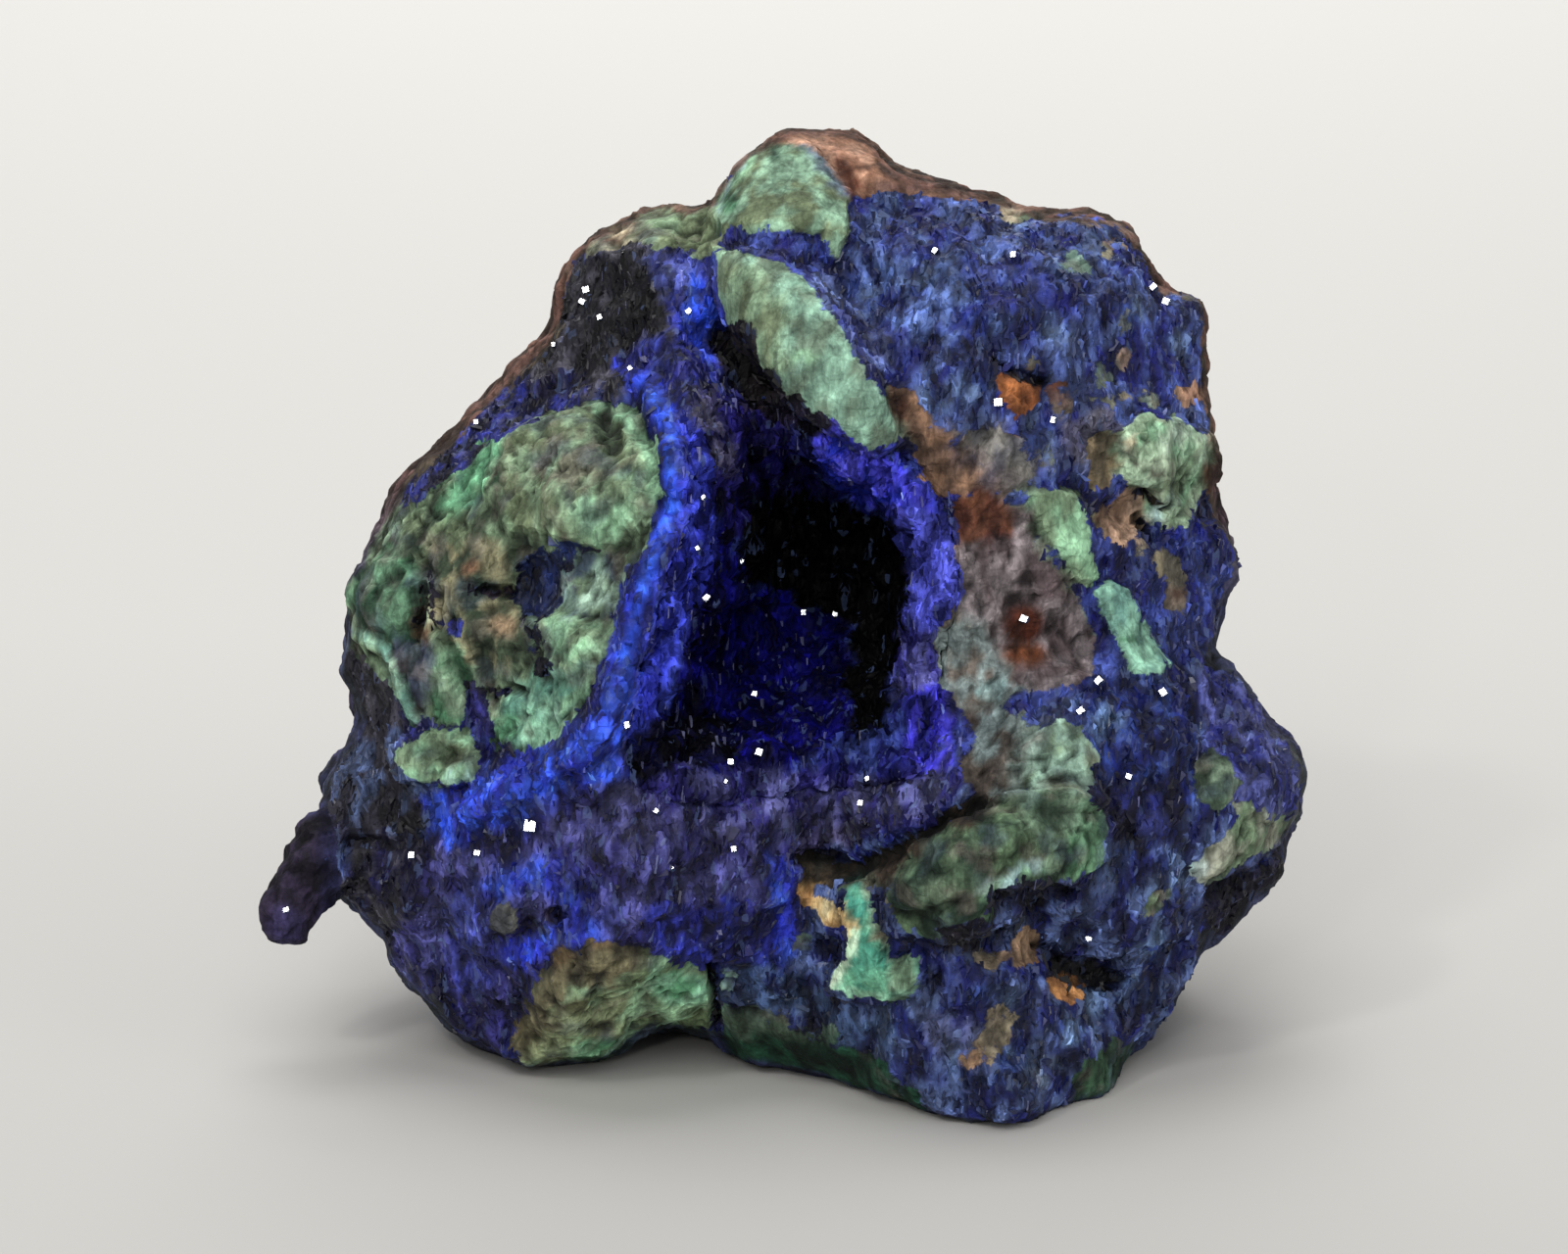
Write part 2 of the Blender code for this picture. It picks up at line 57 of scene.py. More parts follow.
EYE_WARD = np.array([0.0, -math.cos(TILT), math.sin(TILT)])
EYE = MIDDLE + EYE_DISTANCE * EYE_WARD
UP_WARD = np.array([0.0, math.sin(TILT), math.cos(TILT)])
KEY_PLACE = np.array([-260.0, -430.0, 520.0])
SPARK_PLACE = np.array([-130.0, -680.0, 300.0])

BODY_VOXEL = 0.48  # the pitch of the body's skin
BODY_EVENING = 14  # how often it is evened out
BODY_SWELL = 0.10  # how far it then stands out, before its relief
CRUST_VOXEL = 0.34
CRUST_EVENING = 4
CRUST_SWELL = 0.42
CRUST_RELIEF = 0.30
SPOT_TURN = 37.0  # degrees from one of a row's spots to the next
RELIEF_DRIFT = 4.0  # how far noise of size one moves the edge of a raised form, in frame units
EDGE_DRIFT = 1.2  # how far it moves the edge of a mark, as a share of the mark's raggedness
SOFTER = {"azurite": 1.0, "malachite": 1.3, "iron": 2.2}  # how far each kind blends into what is beside it


# ---- tables written as text -------------------------------------------------------------------
def rows(text):
    """The words of each row. A row goes on in the indented lines below it, and one with # is a remark."""
    return [row.split() for row in text.replace("\n  ", " ").splitlines() if row and row[0] != "#"]


def numbers(word):
    return tuple(map(float, word.split(",")))


def srgb(red, green, blue):
    """A colour written 0 to 255 as it shows on a screen, in linear light."""
    c = np.array([red, green, blue]) / 255.0
    return np.where(c <= 0.04045, c / 12.92, ((c + 0.055) / 1.055) ** 2.4)


COLOURS = {name: srgb(*numbers(levels)) for name, levels in rows("""
black 6,6,12
ink 13,12,38
navy 21,23,82
deep 28,34,102
blue 54,68,138
steel 90,108,152
violet 54,50,128
lilac 84,84,138
royal 40,52,172
vivid 60,96,236
charcoal 34,33,42
ash 74,72,84
olive 112,126,96
sage 124,148,118
mint 148,194,156
green 76,124,92
forest 28,56,42
teal 74,150,130
dark_olive 62,74,58
tan 142,106,82
brown 92,68,58
rust 112,62,34
dark_rust 66,30,18
umber 40,30,24
cream 208,192,160
pink 196,150,124
ice 178,216,214
taupe 112,104,96
""")}


def tint(word):
    """A colour from its name or its three levels, times the factor that may follow."""
    name, _, factor = word.partition("*")
    colour = COLOURS[name] if name in COLOURS else srgb(*numbers(name))
    return colour * float(factor or 1.0)


# Paths used more than once: the crest of the vivid ridge, and forms that are both painted and raised.
SHARED = {name: [numbers(word) for word in words] for name, *words in rows("""
ridge 655,388 674,418 684,448 690,490 688,520 676,552 660,590 650,625 643,655 634,690 620,730 600,768
slab 730,256 752,256 798,268 828,292 852,322 868,354 908,418 920,450 892,460 862,448 796,402 764,372 744,340
  733,300
knob 722,228 745,180 770,150 792,143 832,155 868,205 864,240 853,270 839,262 836,238 745,236
leaf 1046,504 1064,497 1094,500 1108,524 1113,562 1122,588 1108,596 1092,588 1080,562 1058,542
leaf_tip 1115,598 1134,591 1150,600 1192,680 1182,691 1152,689 1143,664 1126,636
pillar 862,905 888,900 898,952 908,976 920,984 934,964 941,998 932,1014 905,1022 848,1009 853,990 870,970
  874,950 862,928
olive_lobe 930,872 955,842 1010,822 1060,812 1112,808 1130,845 1120,880 1095,896 1012,908 1008,944 966,960
  920,952 902,922
boss 1045,762 1080,730 1106,736 1118,772 1112,812 1060,818 1042,795
knot 1132,440 1165,424 1205,430 1236,448 1240,482 1224,505 1216,535 1200,560 1180,530 1172,505 1150,490
cake 400,772 422,752 450,745 482,750 489,775 480,800 450,802 415,792
shield_top 500,452 540,432 610,412 642,430 662,470 655,525 625,560 575,546 540,545 508,532 498,492
slot 1058,962 1090,975 1130,985 1155,1000 1130,1016 1100,1008 1072,990
""")}


def path(words):
    """Places from words that give each as across,down or name a shared path."""
    places = []
    for word in words:
        places += SHARED[word] if word in SHARED else [numbers(word)]
    return places


# The outline seen from the front, in millimetres right of and above the middle, anticlockwise from the right.
OUTLINE = path("""
31.2,-0.2 31.6,2.9 32.6,3.7 32.4,5.4 31.4,7.1 31.1,9.0 30.6,10.4 30.8,12.1 30.5,13.4 30.7,14.8 30.1,16.6
30.1,20.7 30.3,22.5 29.9,23.6 28.8,24.1 27.1,24.1 26.4,25.2 25.7,27.2 24.6,28.8 22.4,29.6 20.4,29.8 18.2,29.5
15.9,30.2 14.1,31.1 12.4,31.7 10.5,31.9 7.7,32.5 7.1,32.8 6.9,34.1 6.2,35.0 4.7,35.4 1.1,35.8 -0.4,35.4
-2.5,34.1 -4.3,32.2 -5.3,30.5 -6.8,30.0 -9.0,30.5 -10.3,29.9 -11.7,29.1 -13.9,28.0 -15.5,26.2 -16.0,24.6
-16.2,23.0 -17.2,20.4 -19.5,18.2 -20.9,16.9 -23.2,14.6 -24.3,13.0 -26.1,12.0 -27.3,10.8 -27.9,9.0 -29.2,6.8
-30.2,4.6 -31.7,2.9 -32.1,2.3 -31.3,1.1 -30.9,-0.4 -31.6,-1.9 -31.6,-3.5 -30.7,-4.5 -29.9,-6.7 -30.3,-7.6
-31.9,-9.3 -32.6,-11.1 -32.8,-12.8 -32.4,-15.0 -31.9,-19.0 -30.6,-20.2 -28.7,-22.1 -28.1,-24.5 -26.2,-26.0
-24.9,-26.9 -23.6,-29.1 -20.9,-30.4 -19.2,-31.6 -17.4,-31.4 -15.7,-31.1 -13.7,-31.2 -12.2,-30.8 -11.5,-30.0
-9.5,-28.6 -7.5,-28.6 -4.6,-29.1 -3.9,-30.4 -3.2,-31.1 0.0,-31.5 2.2,-31.9 4.1,-32.7 7.0,-33.6 9.4,-34.8
11.1,-34.9 13.0,-35.5 16.3,-35.8 17.6,-35.7 18.4,-35.1 19.9,-34.8 21.3,-33.9 23.7,-33.4 24.1,-32.2 25.3,-29.8
26.5,-29.3 27.8,-28.0 28.1,-26.5 29.3,-25.1 29.9,-23.2 29.8,-22.0 30.3,-21.7 31.1,-22.3 31.9,-22.0 33.2,-20.1
34.4,-18.9 35.4,-18.3 36.0,-17.1 35.3,-15.6 37.2,-13.2 37.6,-11.3 37.5,-9.5 36.2,-8.1 34.6,-7.1 34.2,-5.6
32.9,-3.8 32.2,-3.0 30.2,-2.7 30.6,-1.2
""".split())
OUTLINE_IN_FRAME = [(FRAME_CENTRE[0] + u / FRAME_MM, FRAME_CENTRE[1] - v / FRAME_MM) for u, v in OUTLINE]


# ---- shapes in the frame ----------------------------------------------------------------------
def smooth_step(x, low, high):
    """0 at low and 1 at high, which may be the smaller."""
    t = np.clip((x - low) / (high - low), 0.0, 1.0)
    return t * t * (3.0 - 2.0 * t)


def to_frame(places):
    """Frame coordinates across and down, and millimetres towards the eye, of rows of places."""
    x, y, z = (places - MIDDLE).T
    w = z * math.sin(TILT) - y * math.cos(TILT)
    near = (1.0 - w / EYE_DISTANCE) * FRAME_MM
    v = y * math.sin(TILT) + z * math.cos(TILT)
    return FRAME_CENTRE[0] + x / near, FRAME_CENTRE[1] - v / near, w


def distance_to_path(px, py, course, closed=False):
    points = course + course[:1] if closed else course
    nearest = np.full(px.shape, 1e9)
    for (x0, y0), (x1, y1) in zip(points[:-1], points[1:]):
        dx, dy = x1 - x0, y1 - y0
        share = np.clip(((px - x0) * dx + (py - y0) * dy) / max(dx * dx + dy * dy, 1e-9), 0.0, 1.0)
        nearest = np.minimum(nearest, np.hypot(px - x0 - share * dx, py - y0 - share * dy))
    return nearest


def area_depth(px, py, outline):
    """Distance to the outline, positive inside it."""
    inside = np.zeros(px.shape, bool)
    for (x0, y0), (x1, y1) in zip(outline, outline[1:] + outline[:1]):
        crosses = (y0 > py) != (y1 > py)
        if y0 != y1:
            inside ^= crosses & (px < x0 + (x1 - x0) * (py - y0) / (y1 - y0))
    distance = distance_to_path(px, py, outline, closed=True)
    return np.where(inside, distance, -distance)


def spot_depth(px, py, centre, radii, turn_deg=0.0):
    turn = math.radians(turn_deg)
    along = (px - centre[0]) * math.cos(turn) + (py - centre[1]) * math.sin(turn)
    across = (py - centre[1]) * math.cos(turn) - (px - centre[0]) * math.sin(turn)
    return (1.0 - np.hypot(along / radii[0], across / radii[1])) * min(radii)


def line_depth(px, py, half_width, course):
    return half_width - distance_to_path(px, py, course)


def shapes(form, *words):
    """The shapes that the end of a row gives, each as its function of depth and what that takes. An area has
    its outline, a line its half width and path, and a spot its centre, radii and turn. Spots have their radii
    and centres, and each is turned further than the one before."""
    if form == "area":
        return [(area_depth, path(words))]
    if form == "line":
        return [(line_depth, float(words[0]), path(words[1:]))]
    if form == "spot":
        return [(spot_depth, *map(numbers, words[:2]), *map(float, words[2:]))]
    radii, *centres = words
    return [(spot_depth, centre, numbers(radii), SPOT_TURN * k % 180.0)
            for k, centre in enumerate(path(centres))]


def shape_depth(px, py, shape):
    """Distance into a shape, in frame units, positive inside."""
    return shape[0](px, py, *shape[1:])


def marks(text):
    """Marks of paint, the later over the earlier. Each row gives a kind, two tints that mix, edge softness,
    raggedness, strength and shapes."""
    return [(shape, kind, tint(one), tint(other), float(soft), float(ragged), float(strength))
            for kind, one, other, soft, ragged, strength, *words in rows(text) for shape in shapes(*words)]


# painted highlight: the brightest blue along the ridge's crest
# painted light: a lighter blue along the furrow right of the slab, lifting its shade
# painted shadow: the black under the olive lobe's lower edge and in the slot below it
# painted shadow: the dark line in the crease at the arm's root
# the vivid ridge: azurite's own blue, with a painted highlight along its crest
FRONT = marks("""
# kind, tint, other tint, softness, raggedness, strength, shape
# lower right azurite, and the dark ground of the whole
azurite 22,28,84 74,90,134 14 10 1 area 735,830 900,830 1110,700 1240,640 1345,700 1345,980 1240,1010
  1150,1130 1040,1160 900,1130 735,1100
azurite 11,20,76 38,56,118 12 12 1 area 1105,690 1180,690 1240,740 1215,830 1130,830 1110,780
azurite ink*0.8 navy*0.8 14 12 0.9 area 1110,800 1200,790 1220,870 1130,880
azurite 10,12,52 26,32,86 17 10 0.8 spots 22,15 1175,760 1135,935 1180,985 1045,1030 960,1000 985,1035
  1090,1075 1000,1110 1215,940 1150,1035 930,1075 1210,690 1290,730
azurite 46,64,112 96,122,156 17 10 0.65 spots 22,14 1010,1015 1095,1050 1140,878 1175,958 1035,1090 1120,735
  1240,745 975,1075 1195,900 895,1045 1165,1010 1120,1020 1268,716
# upper right dome
azurite 18,24,84 68,84,138 12 12 1 area 850,190 900,178 1140,222 1185,290 1240,305 1245,450 1180,450 1060,510
  1000,500 935,440 905,400 870,330 800,270 735,235 850,255
azurite 34,50,108 76,102,146 30 25 0.3 spot 960,300 95,55 10
azurite navy*0.8 deep 20 20 0.8 spot 1060,300 60,30
azurite navy*0.9 deep 18 15 0.8 spot 890,345 40,25 40
azurite navy blue 18 15 0.6 spot 1190,360 40,45
azurite blue*0.8 ash 18 15 0.6 spot 1020,455 60,30
azurite 14,16,74 34,40,104 17 10 0.8 spots 17,13 996,278 1040,341 869,372 952,214 982,248 918,303 1010,372
  1104,300 1198,330 1120,412 912,240 1160,372
azurite 54,74,128 106,130,166 17 10 0.7 spots 16,12 938,288 1080,334 1150,318 884,320 1124,246 992,396
  952,404 1040,228 905,212 1085,275 1205,352 862,300 1062,448
# left shoulder
azurite charcoal*0.45 ash*0.55 14 12 1 area 572,300 580,262 640,245 700,255 700,375 640,405 560,412 500,402
  545,350
azurite black*1.2 charcoal*0.8 20 16 0.9 spot 650,300 38,34
azurite ink deep*1.1 8 10 1 area 520,385 600,385 590,415 515,450 470,492 435,505 400,505
iron brown*0.8 ash 10 8 0.75 line 9 566,330 545,358 486,412 455,450 425,470 385,540
azurite navy*1.2 royal*0.7 14 10 0.9 area 640,370 700,355 735,375 725,400 690,410 650,400
# left flank and the lower left
azurite charcoal ash*0.7 8 8 1 area 345,640 372,655 400,700 410,740 372,760 340,700
azurite charcoal*1.1 steel*0.55 10 8 1 area 335,760 400,745 440,800 430,850 350,850 320,830
azurite ink*1.6 ash*0.55 10 8 1 area 320,840 445,850 470,900 440,1040 390,960 345,915 322,900
azurite 28,26,72 66,66,122 12 12 1 area 430,860 520,835 640,795 880,830 820,890 812,960 740,995 650,975
  545,990 535,1030 500,1080 450,1040 415,1000 400,960 425,900
azurite violet*0.25 lilac*0.65 14 10 0.85 area 620,800 760,795 880,825 850,850 740,850 620,860
azurite navy*0.6 violet*0.6 12 10 0.8 area 430,1010 470,960 560,1000 545,1050 500,1080 455,1045
azurite navy royal*0.75 14 12 0.85 area 650,930 800,920 805,1000 740,1000 660,975
azurite royal vivid*0.6 8 8 0.85 area 785,870 808,870 812,975 790,985
azurite black ink 14 8 0.8 line 8 360,856 395,862 425,856
# the vivid ridge
azurite 22,24,84 44,54,132 14 10 0.95 line 34 668,375 690,440 690,500 650,640 640,690 612,740 575,785 480,835
azurite royal*0.72 vivid*0.78 10 8 1 area 430,812 480,800 520,778 612,755 640,742 640,790 560,815 520,832
  490,855 462,868 432,845
azurite 22,32,122 36,56,166 12 7 0.95 line 14 ridge
azurite 40,74,206 58,106,244 8 4 1 line 6 ridge
azurite royal*0.8 vivid*0.8 10 8 0.85 line 15 636,692 618,735 596,768
azurite navy royal*0.7 8 6 0.8 line 14 655,388 640,372
azurite 30,32,104 50,60,164 10 8 1 area 672,268 706,256 738,285 734,345 735,385 715,392 696,370 680,290
azurite 44,50,112 76,86,150 10 7 0.85 area 655,262 700,258 728,275 730,300 700,308 672,292
azurite 38,66,200 54,98,240 9 5 1 spot 715,322 14,38 -6
# belly marks
azurite 38,42,110 64,74,158 22 12 0.8 line 20 478,990 482,930 520,898 560,890 600,922 612,965
azurite royal*0.75 vivid*0.55 16 10 0.85 line 12 510,902 555,890 594,925 604,962 588,955
azurite royal vivid*0.95 12 8 1 spot 540,965 32,14 -20
iron 60,60,70 88,86,84 3 3 0.9 spot 515,938 17,17
azurite black umber 6 4 0.9 spot 565,937 10,10
# right inner rim of the hollow and the lumps above it
azurite violet 74,76,184 9 6 1 area 915,510 960,510 978,560 975,620 950,650 935,700 915,680 925,600
azurite violet*0.6 lilac*0.8 8 6 0.9 area 915,640 960,640 958,700 920,720
azurite navy 58,54,170 8 6 1 area 925,700 975,715 972,775 945,800 925,780
azurite royal*0.6 66,66,190 8 6 1 area 832,455 870,448 905,470 940,500 950,525 905,515 860,500
azurite royal 84,84,214 8 5 0.9 spot 860,475 16,16
azurite violet*0.35 lilac*0.75 9 8 0.9 area 880,800 960,780 985,800 940,840 860,860 830,835
# brown ground right of the hollow
iron 84,72,74 128,118,120 9 8 1 area 975,550 1010,500 1050,520 1075,570 1110,620 1120,690 1060,705 1010,695
  975,650
iron 98,72,60 150,112,88 5 8 0.92 area 905,398 930,395 950,430 985,460 1010,500 960,505 912,440
iron 88,84,88 132,126,116 6 10 0.75 area 985,440 1040,440 1050,500 1000,505
iron 70,66,86 100,94,104 6 12 0.45 area 950,425 1000,430 1060,445 1090,480 1040,500 985,470
iron dark_rust brown 3 5 0.8 spot 916,418 14,12 30
iron dark_rust*1.1 rust*0.85 5 7 0.9 area 968,508 1000,502 1032,512 1035,545 1000,560 972,545
iron dark_rust*0.9 dark_rust*1.3 5 3 1 spot 1044,636 22,21
iron rust*0.7 rust 6 4 0.95 spot 1046,668 24,13
iron taupe*0.95 128,142,140 8 6 1 area 942,645 975,618 1000,635 1030,680 1035,710 1010,725 975,725 950,700
malachite ice*0.7 ice 5 4 1 spot 1012,704 17,11 -15
iron 74,64,60 110,124,124 9 8 0.95 area 990,722 1045,730 1050,815 1000,820 975,790 990,760
# rusty pit and its cracks in the upper right
iron rust 164,98,54 4 7 0.95 area 1017,398 1020,382 1036,380 1058,388 1064,404 1054,421 1036,428 1022,416
iron ash taupe 5 5 0.75 spot 1051,369 9,7
iron dark_rust*0.3 dark_rust*0.8 3 4 0.9 spot 1050,388 14,5 8
iron rust*0.8 rust 4 6 0.7 spot 1082,392 9,8
iron dark_rust*0.7 84,62,66 4 7 0.8 spot 1083,412 11,13
azurite black umber 4 3 1 line 3.5 1012,365 1028,379 1042,387 1062,391
azurite ash*0.8 taupe*0.7 9 8 0.7 area 1080,430 1130,420 1150,440 1110,480 1090,470
# malachite above the hollow
malachite olive*0.72 130,164,138 5 4 1 area knob
malachite mint ice*0.7 4 3 0.8 line 5 722,228 742,195 765,165
malachite forest green 4 3 0.9 spot 744,208 8,11 20
malachite umber forest 4 2 0.9 spot 792,156 5,9 10
malachite 52,62,98 98,112,130 8 6 0.9 line 8 826,152 838,172 858,192
azurite navy blue*0.95 6 6 1 area 735,238 838,244 850,272 820,286 790,268 745,258
azurite 46,54,112 92,106,156 16 8 0.8 line 16 842,292 896,372
malachite 104,124,106 134,172,150 5 3 1 area slab
malachite olive*0.9 sage 10 6 0.85 area 733,262 775,275 800,310 800,345 805,385 790,385 762,355 745,330
malachite mint ice*0.8 6 4 0.8 spot 820,365 14,10 30
malachite olive*0.85 sage 6 5 1 area 605,243 672,205 724,208 738,228 742,252 712,262 690,252 650,250 612,254
iron brown taupe 6 5 0.9 area 600,240 640,222 660,225 640,250 612,255
iron cream*0.9 cream 4 3 1 spot 632,235 10,7 -10
# brown cap and the weathered edge of the upper right
iron 140,102,82 176,136,112 3 4 1 area 798,128 850,126 890,138 903,155 903,172 935,182 1005,195 1010,206
  960,202 905,192 880,200 850,178 832,152 800,146
iron brown tan*0.7 3 3 0.8 area 905,172 935,182 1005,195 1010,206 960,202 905,192
iron dark_rust dark_rust*1.5 4 4 0.9 area 850,158 868,165 882,190 872,200 855,180
iron brown*0.7 96,74,78 6 5 0.7 line 6 900,186 960,190 1003,200 1030,214 1062,222 1140,226 1165,255 1182,290
iron ash*0.8 taupe*0.7 6 4 0.6 line 6 1190,297 1228,306 1236,330 1232,400 1240,440
malachite sage cream*0.8 5 4 0.95 spot 1034,221 15,9 15
malachite 86,122,120 120,152,140 9 8 0.8 spot 1097,264 18,11 10
iron 150,122,124 cream*0.8 3 6 0.7 spot 1132,255 9,15
iron 140,108,104 pink 4 6 0.7 spot 1145,364 12,14 30
iron 90,92,118 118,118,140 5 8 0.6 spot 1148,325 10,14 10
iron pink*0.9 pink*1.2 3 5 0.85 spot 1211,402 16,12
malachite 120,146,140 cream*0.9 7 8 0.8 spot 1172,404 15,10
malachite 92,122,116 sage 7 7 0.75 spot 1123,384 10,10
iron 84,78,92 taupe 5 9 0.6 spot 1135,408 26,9 -15
# malachite knot at the right edge
iron 96,84,68 142,122,92 3 6 0.95 area 1108,448 1130,436 1158,434 1152,470 1130,498 1106,500 1112,474
malachite 112,134,108 174,202,170 5 6 1 area knot
malachite mint*0.9 196,222,194 5 5 0.9 area 1172,432 1205,436 1228,452 1214,470 1186,462
malachite forest dark_olive 4 5 0.85 line 4 1148,462 1166,478 1190,486
malachite mint*0.8 cream*0.8 4 5 0.85 spot 1160,452 12,7 -30
malachite mint*0.9 180,206,180 4 4 0.8 line 4 1226,470 1206,512
malachite dark_olive olive*0.8 4 4 0.8 spot 1196,497 12,9 20
iron 132,102,86 190,154,130 4 7 0.9 area 1113,530 1130,512 1152,498 1172,500 1176,524 1162,548 1126,550
malachite mint ice*0.8 4 4 0.9 spot 1175,525 12,8 40
azurite black umber 3 3 1 line 4 1160,503 1184,516
azurite black umber 3 3 0.9 line 4 1160,528 1176,552
iron dark_rust brown*0.7 4 3 0.9 line 6 1232,478 1243,530
azurite deep*0.9 blue*0.85 8 8 1 area 1140,560 1180,545 1240,540 1262,575 1245,605 1235,660 1190,680 1160,620
iron taupe cream*0.85 4 6 0.8 spot 1194,580 16,23 -10
iron dark_rust*0.6 76,60,62 5 7 0.8 spot 1198,612 18,13
iron taupe*0.7 taupe*1.1 4 6 0.6 spot 1168,560 9,12
# green strip from the knot down to the right
malachite sage*0.85 mint*0.9 6 5 1 area leaf
malachite 96,140,130 140,190,166 7 5 0.9 area leaf_tip
malachite forest green 3 2 0.9 line 3 1144,652 1160,650
# lower right: boss, olive lobe, crevice
malachite sage*0.62 136,166,148 6 6 1 area boss
malachite 84,100,96 130,150,140 9 8 0.8 area 1040,745 1072,740 1062,775 1040,800 1028,775
malachite 34,50,38 84,106,80 6 6 1 area olive_lobe
malachite 26,42,34 72,92,72 12 10 0.8 area 905,900 930,878 985,868 1000,905 985,940 930,945
malachite 62,100,72 108,152,118 7 6 0.9 area 1095,815 1118,815 1132,848 1120,882 1098,892 1090,860
malachite 72,94,76 124,150,128 16 12 0.75 spot 1082,826 38,20 -12
malachite 72,90,74 112,130,108 10 10 0.6 spot 948,915 20,13 -40
malachite mint*0.9 ice*0.75 4 3 0.95 line 6 1008,906 1030,898 1050,886 1078,878
iron 20,16,16 52,39,32 4 8 0.95 area 820,862 870,882 990,815 1030,812 1000,832 950,858 900,905 850,905
  815,900
azurite 14,10,30 58,54,78 9 9 0.8 area 805,835 850,820 890,838 870,866 820,870
# green pillar
malachite teal*0.8 116,184,150 4 4 1 area pillar
malachite 48,110,92 teal*0.9 8 6 0.8 area 868,955 890,950 898,985 880,1000 866,985
malachite sage*0.8 168,204,172 7 5 0.85 area 905,985 930,970 940,1000 922,1016 904,1010
malachite 170,206,176 cream 3 3 0.9 line 3 886,903 895,948 904,968
iron 160,118,74 212,176,120 2 5 0.9 line 7 818,908 850,940
iron 200,168,116 230,214,166 2 4 0.95 line 7 842,928 858,936 872,950
malachite 186,218,184 214,236,206 3 3 1 line 4 873,950 874,966 849,1004
malachite mint*0.8 160,206,176 4 4 0.7 line 3 850,1006 880,1014 912,1018 934,1010
azurite ink navy 6 5 0.9 spot 845,972 18,14
malachite green*0.8 steel*0.8 6 5 0.7 spot 820,960 14,10
# orange and tan marks
iron 128,98,78 180,144,116 3 6 0.85 spot 1045,967 15,22 20
iron 112,96,88 156,132,112 3 7 0.75 spot 1014,977 21,11 10
iron 150,98,60 196,136,84 3 6 0.9 spot 1087,1008 25,12 42
iron 112,94,82 156,138,116 4 8 0.75 spot 1018,1056 18,31 22
iron tan*0.8 tan*1.1 3 6 0.7 spot 990,1080 12,14
iron brown tan 3 6 0.75 spot 814,1026 16,12
malachite 70,90,84 112,124,116 6 6 0.7 spot 780,1024 10,8
malachite 64,96,88 106,136,118 6 7 0.75 spot 858,1036 9,20
malachite taupe*0.8 sage*0.9 7 8 0.8 spot 1182,920 17,10 -30
azurite 40,48,76 94,108,124 10 8 0.8 spot 1060,1095 26,12 -30
azurite navy 92,94,130 12 10 0.6 spot 970,1060 30,20 10
azurite black black*1.5 6 5 1 area slot
azurite black umber 6 5 0.9 area 955,948 1000,935 1010,955 995,975 965,972
azurite black*1.3 ink 6 5 0.9 area 1010,910 1050,900 1100,898 1095,915 1040,930 1010,930
# bottom edge
azurite 18,26,60 60,80,116 10 10 0.9 area 732,985 800,990 850,1010 905,1040 912,1085 740,1070
malachite 30,48,42 70,84,76 8 10 0.8 area 732,1020 800,1026 860,1050 860,1070 735,1062
malachite 14,34,26 34,74,56 8 6 1 area 733,1052 800,1060 850,1072 900,1078 945,1128 935,1150 875,1125
  740,1095
azurite black navy 8 6 0.8 area 800,1030 840,1036 838,1060 806,1056
malachite forest green*0.55 8 6 0.9 area 1095,1100 1140,1060 1160,1068 1140,1120 1100,1132
malachite steel ice*0.7 4 3 0.85 spot 743,1002 8,12
# right-hand lobe
azurite 30,34,92 74,80,138 10 8 1 area 1228,680 1290,700 1340,765 1335,830 1300,870 1240,800 1220,720
iron ash*0.7 ash 8 6 0.75 line 9 1300,745 1330,775 1332,815 1312,850
malachite 56,76,64 112,132,112 6 6 0.85 area 1216,772 1240,762 1262,775 1268,800 1240,832 1222,822
malachite sage*0.8 150,156,138 5 5 1 area 1255,815 1314,838 1302,860 1238,905 1214,896 1226,875 1250,860
  1262,840
malachite ice 214,236,228 4 3 1 spot 1222,888 11,9 -20
azurite 10,9,26 32,30,54 6 5 1 area 1232,905 1275,888 1305,868 1322,885 1262,960 1235,960 1228,930
# malachite shield on the left
malachite dark_olive*0.9 sage*1.1 5 5 1 area 325,607 345,575 402,520 480,478 500,452 540,430 582,412 612,408
  650,418 668,448 672,490 668,530 655,565 640,585 610,692 590,732 560,762 532,770 500,757 482,735 440,738
  412,722 385,690 358,668 325,650
malachite olive*0.8 sage 8 6 0.95 area shield_top
malachite taupe*0.9 sage 14 10 0.6 spot 575,470 46,24 -12
malachite sage*0.8 mint*0.95 9 8 0.85 area 606,490 648,492 652,530 634,566 600,560 590,525
malachite forest*1.2 dark_olive*0.8 9 7 0.85 line 7 498,472 506,500 509,534
malachite green*1.15 116,180,138 7 6 0.9 line 11 452,522 474,506 498,462
malachite dark_olive*0.9 olive*0.9 9 7 0.85 area 405,522 440,515 478,522 492,550 445,575 412,560
malachite forest*0.8 dark_olive*0.6 7 5 0.8 line 5 410,540 428,560 440,585
malachite 46,74,56 88,124,98 5 4 0.95 area 345,607 403,553 428,574 434,622 424,658 396,652 364,638
malachite forest*0.7 forest 6 4 0.85 line 6 368,640 398,652 424,656
malachite green*1.3 mint*0.8 6 5 0.8 line 5 400,562 420,582
# its pitted middle
malachite dark_olive*0.9 136,128,100 9 8 0.85 area 440,556 500,548 528,566 524,600 534,640 548,668 500,688
  462,668 440,620
malachite forest*0.8 dark_olive*0.7 5 4 0.9 spot 497,600 14,9
azurite navy deep 4 3 0.85 spot 463,640 8,9
malachite mint*0.85 mint*1.1 4 3 0.95 line 7 610,416 640,424 662,455 670,505
malachite dark_olive*0.8 dark_olive*1.2 5 4 0.95 spot 616,443 16,24 -12
malachite forest dark_olive 4 3 0.9 spot 644,478 8,9 30
